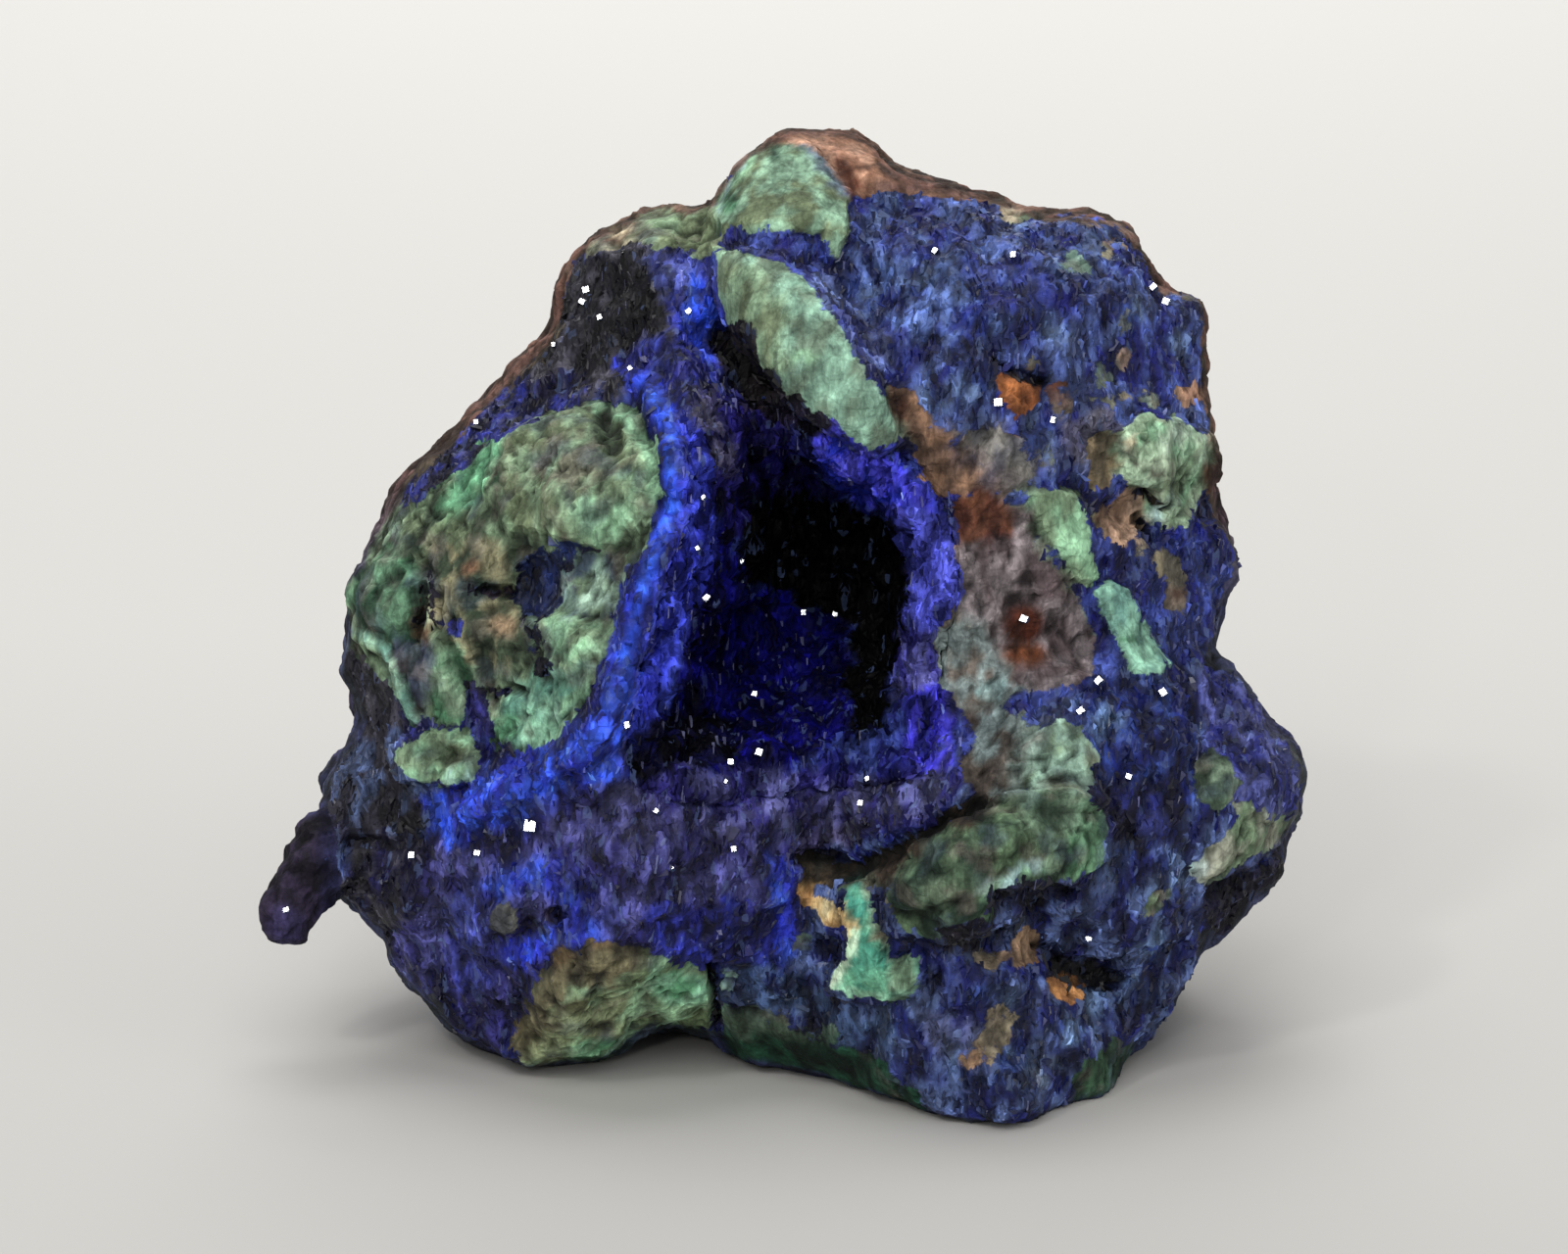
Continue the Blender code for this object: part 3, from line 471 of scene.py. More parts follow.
malachite 70,86,104 134,164,152 10 9 0.8 area 575,558 612,560 632,590 614,622 578,626 562,600
azurite 8,18,46 32,46,94 14 16 0.9 area 522,570 548,562 566,576 578,570 592,584 576,600 570,624 546,636
  522,620
azurite 8,16,40 26,40,80 10 10 0.7 line 6 566,570 584,560 606,556
azurite 8,14,34 28,38,74 8 10 0.8 line 5 540,632 546,656 556,688
malachite dark_olive*0.7 olive*0.7 8 8 0.8 spot 531,592 11,8 -30
azurite black 8,16,40 6 5 0.9 spot 541,602 13,18
malachite ice*0.7 ice 3 2 0.8 line 3 574,594 575,612
malachite sage 176,208,186 6 7 0.9 area 592,590 612,584 628,600 624,622 604,628 590,612
malachite sage*0.9 mint*0.9 6 6 0.9 area 548,632 590,626 618,640 614,672 580,676 556,660
azurite black ink 5 4 0.85 spot 555,684 7,12
malachite 56,62,84 88,100,116 7 6 0.85 area 402,662 436,656 442,700 430,734 412,704
malachite green mint*0.85 6 6 0.85 area 440,668 470,656 482,700 478,742 446,738 436,702
azurite navy violet*0.9 5 5 0.9 area 474,708 498,704 503,752 484,748
malachite 84,128,112 142,194,164 6 6 0.95 area 505,742 520,700 604,676 596,712 580,738 552,766 522,766
malachite green*1.3 120,190,146 5 4 0.9 spot 516,742 13,15
malachite mint 176,220,196 4 3 0.9 line 5 568,730 588,712 604,684
malachite 116,162,146 164,206,178 4 3 0.95 line 6 368,646 394,664 422,738
azurite black umber 3 3 1 line 3.5 426,600 428,625 424,650
azurite black umber 3 3 0.9 line 3.5 438,588 442,615 440,642
azurite black umber 3 3 0.9 line 3 482,604 500,608 520,602
azurite black ink 3 3 0.9 line 3 476,702 506,706 520,704
iron tan pink 4 3 0.85 spot 480,580 9,6 -20
iron 116,96,80 160,130,104 4 5 0.7 spot 512,640 14,11 20
iron tan cream*0.7 4 3 0.8 spot 434,646 5,10 10
# small malachite cake
malachite sage mint 4 4 1 area cake
malachite dark_olive*1.4 olive 5 4 0.9 spot 466,770 13,12
malachite mint ice*0.8 3 2 0.9 line 4 445,785 462,796 480,797
# left toe
malachite 110,128,94 166,208,166 6 6 1 area 545,1008 650,972 726,985 730,1030 716,1052 660,1052 630,1075
  600,1088 528,1095 548,1045
iron 60,46,42 112,88,64 7 10 0.85 area 545,1010 560,978 600,962 645,962 652,978 640,1005 590,1008 562,1040
  540,1075 515,1080
malachite 86,80,58 148,148,110 10 10 0.75 area 528,1095 545,1050 585,1020 640,1012 640,1040 590,1085
malachite green*1.5 150,208,172 8 6 0.95 spot 692,1008 30,18 10
malachite green*1.4 134,190,150 7 6 0.9 spot 602,1068 28,13 -10
azurite black black 3 2 1 line 3.5 728,985 731,1012 729,1042
# arm
iron 17,13,22 46,38,58 5 6 1 area 240,840 322,826 345,850 345,900 328,910 330,990 240,990
iron 34,28,62 58,52,92 4 6 0.7 spot 292,945 16,22
azurite blue*0.7 steel 5 4 0.9 spot 345,880 14,18
""")

# The hollow and its rim. Little light gets in, so its floor is painted brighter than it looks; its black marks are
# painted shade.
# painted shade: the dark patch low in the hollow
# painted shade: the near-black of the hollow's deep end
# painted shadow: the black strip under the slab's overhanging lower edge
HOLLOW = marks("""
azurite black 34,28,32 14 8 1 line 22 748,352 768,394 796,420
azurite black 26,22,36 10 6 1 line 13 796,418 866,458
azurite 10,8,44 28,24,92 12 10 1 area 700,395 740,398 800,440 850,500 740,560 712,470
azurite ink ash*0.9 14 12 0.8 spot 725,440 18,46 -15
azurite 4,3,50 10,8,90 12 8 1 area 716,480 742,545 770,600 860,625 868,740 800,790 640,790 690,700 705,640
azurite 34,40,132 66,78,206 12 8 1 area 690,400 714,440 730,570 712,610 690,690 668,730 655,765 640,790
  632,780 645,700 660,645 684,590 694,500
azurite black*0.05 black*0.2 9 8 1 area 755,540 775,512 814,500 850,508 914,540 926,583 926,615 918,650
  914,690 900,740 868,765 862,690 868,640 835,615 800,610 777,600 757,578
azurite black*0.3 8,8,40 10 6 0.95 area 643,750 690,728 752,735 755,776 700,788 643,790
azurite violet*0.45 lilac*0.75 12 9 0.9 area 628,795 700,785 880,790 905,812 880,835 740,840 628,835
azurite 54,58,140 82,88,196 8 6 1 area 918,515 955,505 980,545 982,600 965,640 942,660 940,700 914,700
  930,600
azurite violet*0.8 lilac 8 6 0.85 area 918,645 955,640 962,690 938,712 914,715
azurite navy*1.2 62,58,186 8 6 1 area 925,712 958,700 975,725 972,775 945,795 918,775
azurite royal*0.7 72,72,204 8 6 1 area 826,448 850,440 876,450 940,490 962,520 890,520 862,505 840,480
azurite royal 92,92,226 8 5 0.9 spot 860,474 15,15
""")

# Where malachite is smooth.
CALM = [shape for words in rows("""
area 798,120 890,130 910,170 1010,195 1010,212 880,205 800,150
area slab
area knob
area leaf
area leaf_tip
area pillar
area 735,1035 860,1045 915,1125 745,1085
""") for shape in shapes(*words)]

# Raised and sunken forms of the front, finer than the solid's: rise, edge softness in frame units and shape.
RELIEF = [(shape, float(rise), float(soft)) for rise, soft, *words in rows("""
1.2 12 area slab
-1.5 16 line 12 742,340 765,385 812,425 862,458
0.9 16 line 10 ridge 540,795 480,830
0.7 14 area shield_top
-0.8 8 spot 624,446 13,24 -15
-0.5 16 spot 548,600 26,30
0.7 16 spot 575,660 34,30
0.7 14 spot 530,735 24,26
0.6 12 spot 395,605 34,36 20
-0.7 10 spot 455,625 10,26
-0.7 12 spot 492,672 12,20 20
0.6 8 line 5 372,652 395,670 425,738
-1.3 5 line 4 432,598 424,652
-0.8 5 line 3 445,603 442,640
-1.1 5 line 4 488,605 505,607 522,602
-1 5 line 4 510,706 532,708
-1 8 line 5 455,660 482,735
-0.8 8 line 5 542,648 560,690
1.1 8 area cake
-0.5 8 spot 458,768 18,10
0.9 10 area olive_lobe
-1.3 10 area 1010,912 1050,902 1100,900 1095,918 1040,935 1010,932
-1.1 12 line 9 820,875 870,888 1000,822
0.8 10 area boss
0.9 16 line 11 1030,822 1075,819 1110,812
0.6 12 spot 935,905 22,16 10
0.5 12 spot 1010,862 30,13 -22
-0.5 9 line 5 912,922 945,930 980,915
1.1 6 area pillar
-1.4 8 spot 840,970 16,12
-1.5 10 area slot
-1 8 area 1232,905 1275,888 1305,868 1300,880 1262,915 1232,925
0.8 8 area knot
-1 4 line 4 1162,505 1184,516
-1 4 line 4 1160,528 1172,540 1176,552
0.7 8 area leaf
0.6 8 area leaf_tip
0.9 14 spot 1044,634 19,18
1 16 spot 1039,406 22,20
-0.7 6 line 4 1012,365 1028,379 1062,391
0.6 7 area knob
0.8 8 spot 515,938 17,17
-1.2 6 spot 565,937 10,10
-1.8 5 line 4 728,985 731,1012 729,1048
-0.6 12 line 6 355,862 390,864 425,856
""") for shape in shapes(*words)]


def calm_share(px, py):
    """1 inside the smooth malachite, 0 outside it."""
    share = np.zeros(len(px))
    for shape in CALM:
        share = np.maximum(share, smooth_step(shape_depth(px, py, shape), -6.0, 6.0))
    return share


# ---- noise ------------------------------------------------------------------------------------
def smooth_noise(places, size, seed, stretch=1.0):
    """Smooth noise from about -1 to 1, whose features are size millimetres wide and stretch times as tall."""
    shift = Vector((seed * 2.9, seed * 8.3, seed * 4.1))
    scaled = places / np.array([size, size, size * stretch])
    return np.array([noise.noise(Vector(p) + shift) for p in scaled]) * 1.6


def layered(places, layers):
    """Smooth noise in layers, each with its share, size, seed and perhaps stretch."""
    return sum(share * smooth_noise(places, *layer) for share, *layer in layers)


def cells(places, size, seed, stretch=1.0):
    """Voronoi cells: how much nearer one centre is than the next, its random vector, and the way from it."""
    shift = Vector((seed * 5.3, seed * 1.7, seed * 9.1))
    scaled = places / np.array([size, size, size * stretch])
    gap, lean, offset = [], [], []
    for p in scaled:
        spot_at = Vector(p) + shift
        distances, centres = noise.voronoi(spot_at)
        gap.append(distances[1] - distances[0])
        lean.append(noise.cell_vector(centres[0] * 31.7))
        offset.append(spot_at - centres[0])
    return np.array(gap), np.array(lean), np.array(offset)


def facets(places, size, seed, stretch, slope, step, most):
    """The height of flat-faced grains: each cell is a plane with its own slope and step, cut off at most."""
    _, lean, offset = cells(places, size, seed, stretch)
    return np.clip(slope * np.einsum("ij,ij->i", lean - 0.5, offset) + step * (lean[:, 0] - 0.5), -most, most)


# ---- paint ------------------------------------------------------------------------------------
EDGE_NOISE = ((2.6, 1.0), (1.1, 0.8), (0.55, 0.5))  # size and share
EDGE_SEED = 5
MIX_NOISE = ((0.8, 0.9, 3, 2.0), (1.0, 2.0, 4, 1.5))  # here and below: share, size, seed and stretch
BLOTCH_NOISE = ((1.0, 1.7, 5, 1.6), (0.6, 0.75, 6, 1.8))

# Plain rock: kind, noise, the level it shows from, two tints, edge softness and its share in front.
ROCK = (
    ("iron", ((1.0, 13.0, 7), (0.5, 5.0, 8), (0.25, 2.0, 9)), 0.30, "brown*0.6", "tan*0.8", 6.0, 0.0),
    ("malachite", ((1.0, 11.0, 11), (0.5, 4.0, 12), (0.3, 1.6, 13)), 0.38, "dark_olive", "sage", 6.0, 0.25),
    ("azurite", ((1.0, 8.0, 14), (0.5, 3.0, 15)), 0.42, "navy", "royal*0.8", 10.0, 0.0),
)
ROCK_STEEPNESS = 40.0

# Flecks on rough malachite: tint, noise, the levels between which they come up, and strength.
FLECKS = (
    ("taupe*1.1", ((1.0, 2.0, 17), (0.5, 0.8, 18)), 0.20, 0.75, 0.40),
    ("70,84,96", ((1.0, 2.6, 19), (0.5, 1.0, 20)), 0.25, 0.80, 0.45),
)

# The dark and the pale tint of the darker edge along the outline, each as it is below and above.
RIM_TINTS = (("18,18,44", "48,34,28"), ("50,52,94", "110,78,68"))


class Paint:
    """The tints of azurite and of the ground between it, and how much of each shows, at rows of places."""

    def __init__(self, places, normals, hollow=False):
        count = len(places)
        px, py, w = to_frame(places)
        towards = normals @ EYE_WARD
        front = np.ones(count) if hollow else smooth_step(towards, -0.35, -0.02) * smooth_step(w, -9.0, -3.0)
        shift = sum(share * np.array([noise.noise_vector(Vector(p) / size) for p in places])
                    for size, share in EDGE_NOISE)
        self.mix = smooth_step(layered(places, MIX_NOISE), -0.35, 0.42)[:, None]
        self.blue = self.between(tint("navy*0.8"), tint("blue*0.85"))
        self.ground = np.tile(COLOURS["olive"], (count, 1))
        self.azurite = np.ones(count)
        self.malachite = np.ones(count)
        if not hollow:
            self.lay_rock(places)
        for shape, kind, one, other, soft, ragged, strength in FRONT + HOLLOW:
            drift = ragged * shift * EDGE_DRIFT
            depth = shape_depth(px + drift[:, 0], py + drift[:, 2], shape)
            self.lay(depth, kind, self.between(one, other), soft * SOFTER[kind], strength * front)
        if not hollow:
            self.lay_rim(px, py, towards, shift[:, 0])
        self.blue = self.blue * (0.42 + smooth_step(layered(places, BLOTCH_NOISE), -0.55, 0.6))[:, None]
        rough = self.malachite * (1.0 - calm_share(px, py) * front)
        for fleck, layers, low, high, strength in FLECKS:
            share = strength * smooth_step(layered(places, layers), low, high)
            self.ground = self.ground + (tint(fleck) - self.ground) * (share * rough)[:, None]

    def between(self, one, other):
        return one + (other - one) * self.mix

    def lay(self, depth, kind, colour, soft, strength):
        """Lays a colour over all deeper than nought, and a little past it where other stone gives way."""
        cover = smooth_step(depth, -0.5 * soft, 0.5 * soft) * strength
        reach = smooth_step(depth, -soft - 8.0, -soft) * strength
        gives_way = 1.0 - self.azurite if kind == "azurite" else self.azurite
        tinted = (cover + (reach - cover) * gives_way)[:, None]
        if kind == "azurite":
            self.blue = self.blue + (colour - self.blue) * tinted
            self.azurite = self.azurite + (1.0 - self.azurite) * cover
        else:
            self.ground = self.ground + (colour - self.ground) * tinted
            self.malachite = self.malachite + ((kind == "malachite") - self.malachite) * tinted[:, 0]
            self.azurite = self.azurite * (1.0 - cover)

    def lay_rock(self, places):
        """Plain rock: azurite with malachite and iron-stained ground in patches of a few millimetres."""
        behind = smooth_step(places[:, 1], -6.0, 10.0)
        for kind, layers, level, one, other, soft, in_front in ROCK:
            depth = (layered(places, layers) - level) * ROCK_STEEPNESS
            share = in_front + (1.0 - in_front) * behind
            self.lay(depth, kind, self.between(tint(one), tint(other)), soft, share)

    def lay_rim(self, px, py, towards, shift):
        """A darker edge along the front's outline, brown at the top and widest at the top left, darker below. The
        arm has none.
        """
        high = smooth_step(py, 640.0, 440.0)
        width = 3.5 + 4.0 * high * smooth_step(px, 1080.0, 920.0)
        dark, pale = (tint(low) + (tint(top) - tint(low)) * high[:, None] for low, top in RIM_TINTS)
        off_arm = np.maximum(smooth_step(px, 318.0, 340.0), smooth_step(py, 842.0, 822.0))
        depth = width - area_depth(px, py, OUTLINE_IN_FRAME) + 3.0 * shift
        strength = smooth_step(towards, -0.6, -0.2) * off_arm * 0.9
        self.lay(depth, "iron", self.between(dark, pale), 5.0, strength)

    def write(self, mesh, recess_shade):
        set_colour(mesh, "blue", self.blue)
        set_colour(mesh, "ground", self.ground)
        # the third channel is how far each place is sunk; the materials darken sunk places with it as painted shade
        set_colour(mesh, "kind", np.stack([self.azurite, self.malachite, recess_shade], -1))


# ---- meshes -----------------------------------------------------------------------------------
def new_object(name, mesh):
    made = bpy.data.objects.new(name, mesh)
    bpy.context.scene.collection.objects.link(made)
    return made


def set_colour(mesh, name, values):
    layer = mesh.attributes.new(name, "FLOAT_COLOR", "POINT")
    with_alpha = np.concatenate([values, np.ones((len(values), 1))], 1)
    layer.data.foreach_set("color", with_alpha.astype(np.float32).ravel())


def unit(vectors):
    return vectors / np.maximum(np.linalg.norm(vectors, axis=-1, keepdims=True), 1e-9)


def remeshed(name, source, voxel):
    """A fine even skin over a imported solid."""
    work = new_object(name, source.data.copy())
    remesh = work.modifiers.new("skin", "REMESH")
    remesh.mode = "VOXEL"
    remesh.voxel_size = voxel * MM
    graph = bpy.context.evaluated_depsgraph_get()
    mesh = bpy.data.meshes.new_from_object(work.evaluated_get(graph))
    work.modifiers.clear()
    work.data = mesh
    mesh.materials.clear()
    return work


class Skin:
    """A mesh's places and normals as arrays of millimetres."""

    def __init__(self, made):
        self.mesh = made.data
        self.edges = np.empty(len(self.mesh.edges) * 2, np.int32)
        self.mesh.edges.foreach_get("vertices", self.edges)
        self.edges = self.edges.reshape(-1, 2)
        self.read()
        self.links = np.bincount(self.edges.ravel(), minlength=len(self.places))

    def read(self):
        count = len(self.mesh.vertices)
        places, normals = np.empty(count * 3), np.empty(count * 3)
        self.mesh.vertices.foreach_get("co", places)
        self.mesh.vertices.foreach_get("normal", normals)
        self.places, self.normals = places.reshape(-1, 3) / MM, normals.reshape(-1, 3)

    def write(self):
        self.mesh.vertices.foreach_set("co", (self.places * MM).ravel())
        self.mesh.update()
        self.read()

    def relaxed(self, times, share=0.5):
        """The places evened out, keeping what lies in the plane of the base in it."""
        one, other = self.edges.T
        grounded = self.places[:, 2] < 0.25
        places = self.places
        for _ in range(times):
            sums = np.stack([np.bincount(one, places[other, k], len(places))
                             + np.bincount(other, places[one, k], len(places)) for k in range(3)], -1)
            moved = places + share * (sums / self.links[:, None] - places)
            moved[grounded, 2] = places[grounded, 2]
            places = moved
        return places

    def relax(self, times):
        self.places = self.relaxed(times)
        self.write()

    def recess_shade(self, times=7, depth=0.30):
        """How far each place is sunk below the smoothed skin: 0 on a knob, a half on a plain, 1 in a pit."""
        # the materials darken the colour by this measure: painted shade in recesses
        sunk = np.einsum("ij,ij->i", self.relaxed(times) - self.places, self.normals)
        return np.clip(0.5 + 0.5 * sunk / depth, 0.0, 1.0)

    def push(self, height):
        """Moves each place along its normal by height, leaving the plane of the base alone."""
        lift = smooth_step(self.places[:, 2], 0.1, 1.2)
        self.places = self.places + self.normals * (height * lift)[:, None]
        self.places[:, 2] = np.maximum(self.places[:, 2], 0.0)
        self.write()

    def sample(self, count, rng):
        """Places and normals at random over the whole skin."""
        self.mesh.calc_loop_triangles()
        corners = np.empty(len(self.mesh.loop_triangles) * 3, np.int32)
        self.mesh.loop_triangles.foreach_get("vertices", corners)
        corners = corners.reshape(-1, 3)
        a, b, c = (self.places[corners[:, k]] for k in range(3))
        areas = np.linalg.norm(np.cross(b - a, c - a), axis=1)
        picked = rng.choice(len(corners), size=count, p=areas / areas.sum())
        shares = rng.dirichlet((1.0, 1.0, 1.0), count)
        places = np.einsum("nk,nkc->nc", shares, self.places[corners[picked]])
        return places, unit(np.einsum("nk,nkc->nc", shares, self.normals[corners[picked]]))


def fine_relief(skin, paint):
    """Height of the fine skin: flat grains on azurite, cracked knobs and pits on malachite, grit on iron."""
    places = skin.places
    px, py, w = to_frame(places)
    front = smooth_step(skin.normals @ EYE_WARD, 0.05, 0.35) * smooth_step(w, -6.0, -1.0)
    height = np.zeros(len(places))
    warp = smooth_noise(places, 2.0, 21)
    for shape, rise, soft in RELIEF:
        depth = shape_depth(px + RELIEF_DRIFT * warp, py - RELIEF_DRIFT * warp, shape)
        height += rise * front * smooth_step(depth, -0.5 * soft, 0.5 * soft)
    grains = facets(places, 1.25, 22, 1.7, slope=2.2, step=0.4, most=0.6)
    coarse, middling, small = (smooth_noise(places, size, seed, 1.3)
                               for size, seed in ((2.6, 24), (1.2, 25), (0.7, 26)))
    bent = places + 0.8 * np.stack([coarse, middling, warp], -1)
    cracks = 1.0 - smooth_step(cells(bent, 3.6, 28)[0] + 0.05 * small, 0.01, 0.11)
    pits = smooth_step(middling + 0.6 * small - 0.3 * coarse, 0.55, 1.05)
    rough = 1.0 - 0.75 * front * calm_share(px, py)
    malachite = (1.0 - paint.azurite) * paint.malachite
    iron = (1.0 - paint.azurite) * (1.0 - paint.malachite)
    height += paint.azurite * (0.30 * grains + 0.22 * middling + 0.14 * coarse)
    knobs = 0.30 * coarse + 0.13 * middling + 0.05 * small - 0.28 * cracks - 0.30 * pits
    height += malachite * knobs * rough
    grit = 0.26 * coarse + 0.20 * middling + 0.12 * small - 0.20 * cracks - 0.15 * pits
    height += iron * grit * rough
    return height


def make_body():
    body = remeshed("specimen_body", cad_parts["azurite_mass"], BODY_VOXEL)
    skin = Skin(body)
    skin.relax(BODY_EVENING)
    skin.push(np.full(len(skin.places), BODY_SWELL))
    skin.push(fine_relief(skin, Paint(skin.places, skin.normals)))
    Paint(skin.places, skin.normals).write(body.data, skin.recess_shade())
    return body, skin


def make_crust():
    crust = remeshed("hollow_crust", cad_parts["vug_crust"], CRUST_VOXEL)
    skin = Skin(crust)
    skin.relax(CRUST_EVENING)
    skin.push(np.full(len(skin.places), CRUST_SWELL))
    skin.push(CRUST_RELIEF * facets(skin.places, 1.1, 31, 1.5, slope=2.6, step=0.0, most=0.7))
    Paint(skin.places, skin.normals, hollow=True).write(crust.data, skin.recess_shade())
    return crust, skin


# ---- crystals ---------------------------------------------------------------------------------
def solid(corners, triangles):
    """A flat-faced form's corners, and its triangles as rows of three of their numbers, from text."""
    return (np.array([numbers(corner) for corner in corners.split()]),
            np.array([[int(number) for number in triangle] for triangle in triangles.split()]))


# The forms stand on z = 0, about one unit long and high. A grain is a slanted ridge that lies along x, a blade
# ends in a chisel edge, and a tablet is a plain block.
GRAIN = solid("-0.5,-0.5,0 0.5,-0.5,0 0.5,0.5,0 -0.5,0.5,0 -0.3,0.1,0.65 0.36,-0.1,1",
              "021 032 015 054 125 234 245 304")
BLADE = solid("-0.5,-0.3,0 0.5,-0.3,0 0.5,0.3,0 -0.5,0.3,0 -0.5,-0.3,0.62 0.5,-0.3,0.7 0.5,0.3,0.58 "
              "-0.5,0.3,0.5 -0.3,0.02,0.92 0.3,-0.02,1",
              "021 032 015 054 126 165 237 276 304 347 459 498 678 689 569 748")
TABLET = solid("-0.5,-0.5,0 0.5,-0.5,0 0.5,0.5,0 -0.5,0.5,0 -0.5,-0.5,1 0.5,-0.5,1 0.5,0.5,1 -0.5,0.5,1",
               "021 032 456 467 015 054 126 165 237 276 304 347")

# Each form's solid, least and greatest size, share sunk in the rock, lean, wander, and the directions that
# its growth and its length are drawn to.
FORMS = {
    "grain": (GRAIN, (0.55, 0.24, 0.26), (1.05, 0.42, 0.42), 0.58, 0.22, 0.28, 0.0 * EYE_WARD, UP_WARD),
    "blade": (BLADE, (0.32, 0.22, 0.60), (0.60, 0.40, 0.95), 0.52, 0.45, 1.0, 0.5 * UP_WARD, 0.0 * UP_WARD),
    "streak": (GRAIN, (0.55, 0.14, 0.26), (1.00, 0.23, 0.34), 0.40, 0.10, 0.06, 2.0 * EYE_WARD, UP_WARD),
}
# Some crystals are tinted paler, a painted sheen standing in for light caught on their faces.
PALE_OUTSIDE = 0.09  # the share of crystals with a pale sheen
PALE_INSIDE = 0.02
PAINTED_SHEEN = tint("steel*1.1")
STREAK_SHEEN = srgb(124, 126, 164)


def thin_out(places, spacing):
    """One of the rows for each cube of that size."""
    keys = np.floor(places / spacing).astype(np.int64) @ np.array([1, 4096, 16777216])
    return np.unique(keys, return_index=True)[1]


def crystal_mesh(name, form, feet, ups, along, sizes, tints, gloss):
    """One mesh of many crystals: feet, directions of growth and of length, sizes and tints, one row each."""
    corners, triangles = form
    along = unit(along - ups * np.einsum("ij,ij->i", along, ups)[:, None])
    turn = np.stack([along, np.cross(ups, along), ups], axis=1)
    places = np.einsum("nvk,nkc->nvc", corners[None] * sizes[:, None, :], turn) + feet[:, None, :]
    places[:, :, 2] = np.maximum(places[:, :, 2], 0.02)
    first = np.arange(len(feet)) * len(corners)
    faces = (triangles[None] + first[:, None, None]).reshape(-1, 3)
    mesh = bpy.data.meshes.new(name)
    mesh.from_pydata((places.reshape(-1, 3) * MM).tolist(), [], faces.tolist())
    mesh.update()
    set_colour(mesh, "blue", np.repeat(tints, len(corners), axis=0))
    set_colour(mesh, "kind", np.repeat(np.stack([gloss, gloss, gloss], -1), len(corners), axis=0))
    return new_object(name, mesh)


def grow(name, form, skin, hollow, seed, tries, spacing, share):
    """Crystals over a skin's azurite. Grains and streaks lie along it, near upright in the view, and blades
    stand out."""
    form_solid, low, high, sink, lean, wander, drawn_up, drawn_along = FORMS[form]
    rng = np.random.default_rng(seed)
    places, normals = skin.sample(tries, rng)
    chosen = thin_out(places, spacing)
    places, normals = places[chosen], normals[chosen]
    paint = Paint(places, normals, hollow)
    px, py, _ = to_frame(places)
    kept = rng.random(len(places)) < share(places, normals) * smooth_step(paint.azurite, 0.45, 0.75)
    kept &= places[:, 2] > 0.6
    kept &= rng.random(len(places)) > 0.75 * smooth_step(distance_to_path(px, py, SHARED["ridge"]), 16.0, 8.0)
    if not hollow:
        kept &= area_depth(px, py, OUTLINE_IN_FRAME) > 5.0
    places, normals, tints = places[kept], normals[kept], paint.blue[kept]
    count = len(places)
    ups = unit(normals + lean * rng.normal(size=(count, 3)) + drawn_up)
    along = drawn_along + wander * rng.normal(size=(count, 3))
    sizes = rng.uniform(low, high, (count, 3)) * np.clip(rng.lognormal(0.0, 0.25, (count, 1)), 0.6, 1.5)
    feet = places - ups * (sink * sizes[:, 2:3])
    tints = tints * np.clip(rng.lognormal(-0.12, 0.45, (count, 1)), 0.30, 2.4)
    # painted sheen: a share of the crystals is tinted paler, as if catching light
    pale = rng.random((count, 1)) < (PALE_INSIDE if hollow else PALE_OUTSIDE)
    light = pale * rng.uniform(0.2, 0.7, (count, 1))
    tints = tints + (PAINTED_SHEEN * tints.sum(1, keepdims=True) / 0.35 - tints) * light
    # painted highlight: streaks are tinted pale, standing in for light caught on them
    if form == "streak":
        tints = tints + STREAK_SHEEN * rng.uniform(0.15, 1.0, (count, 1)) ** 1.6
    tints = np.clip(tints, 0.0, 0.9)
    return crystal_mesh(name, form_solid, feet, ups, along, sizes, tints, rng.random(count))


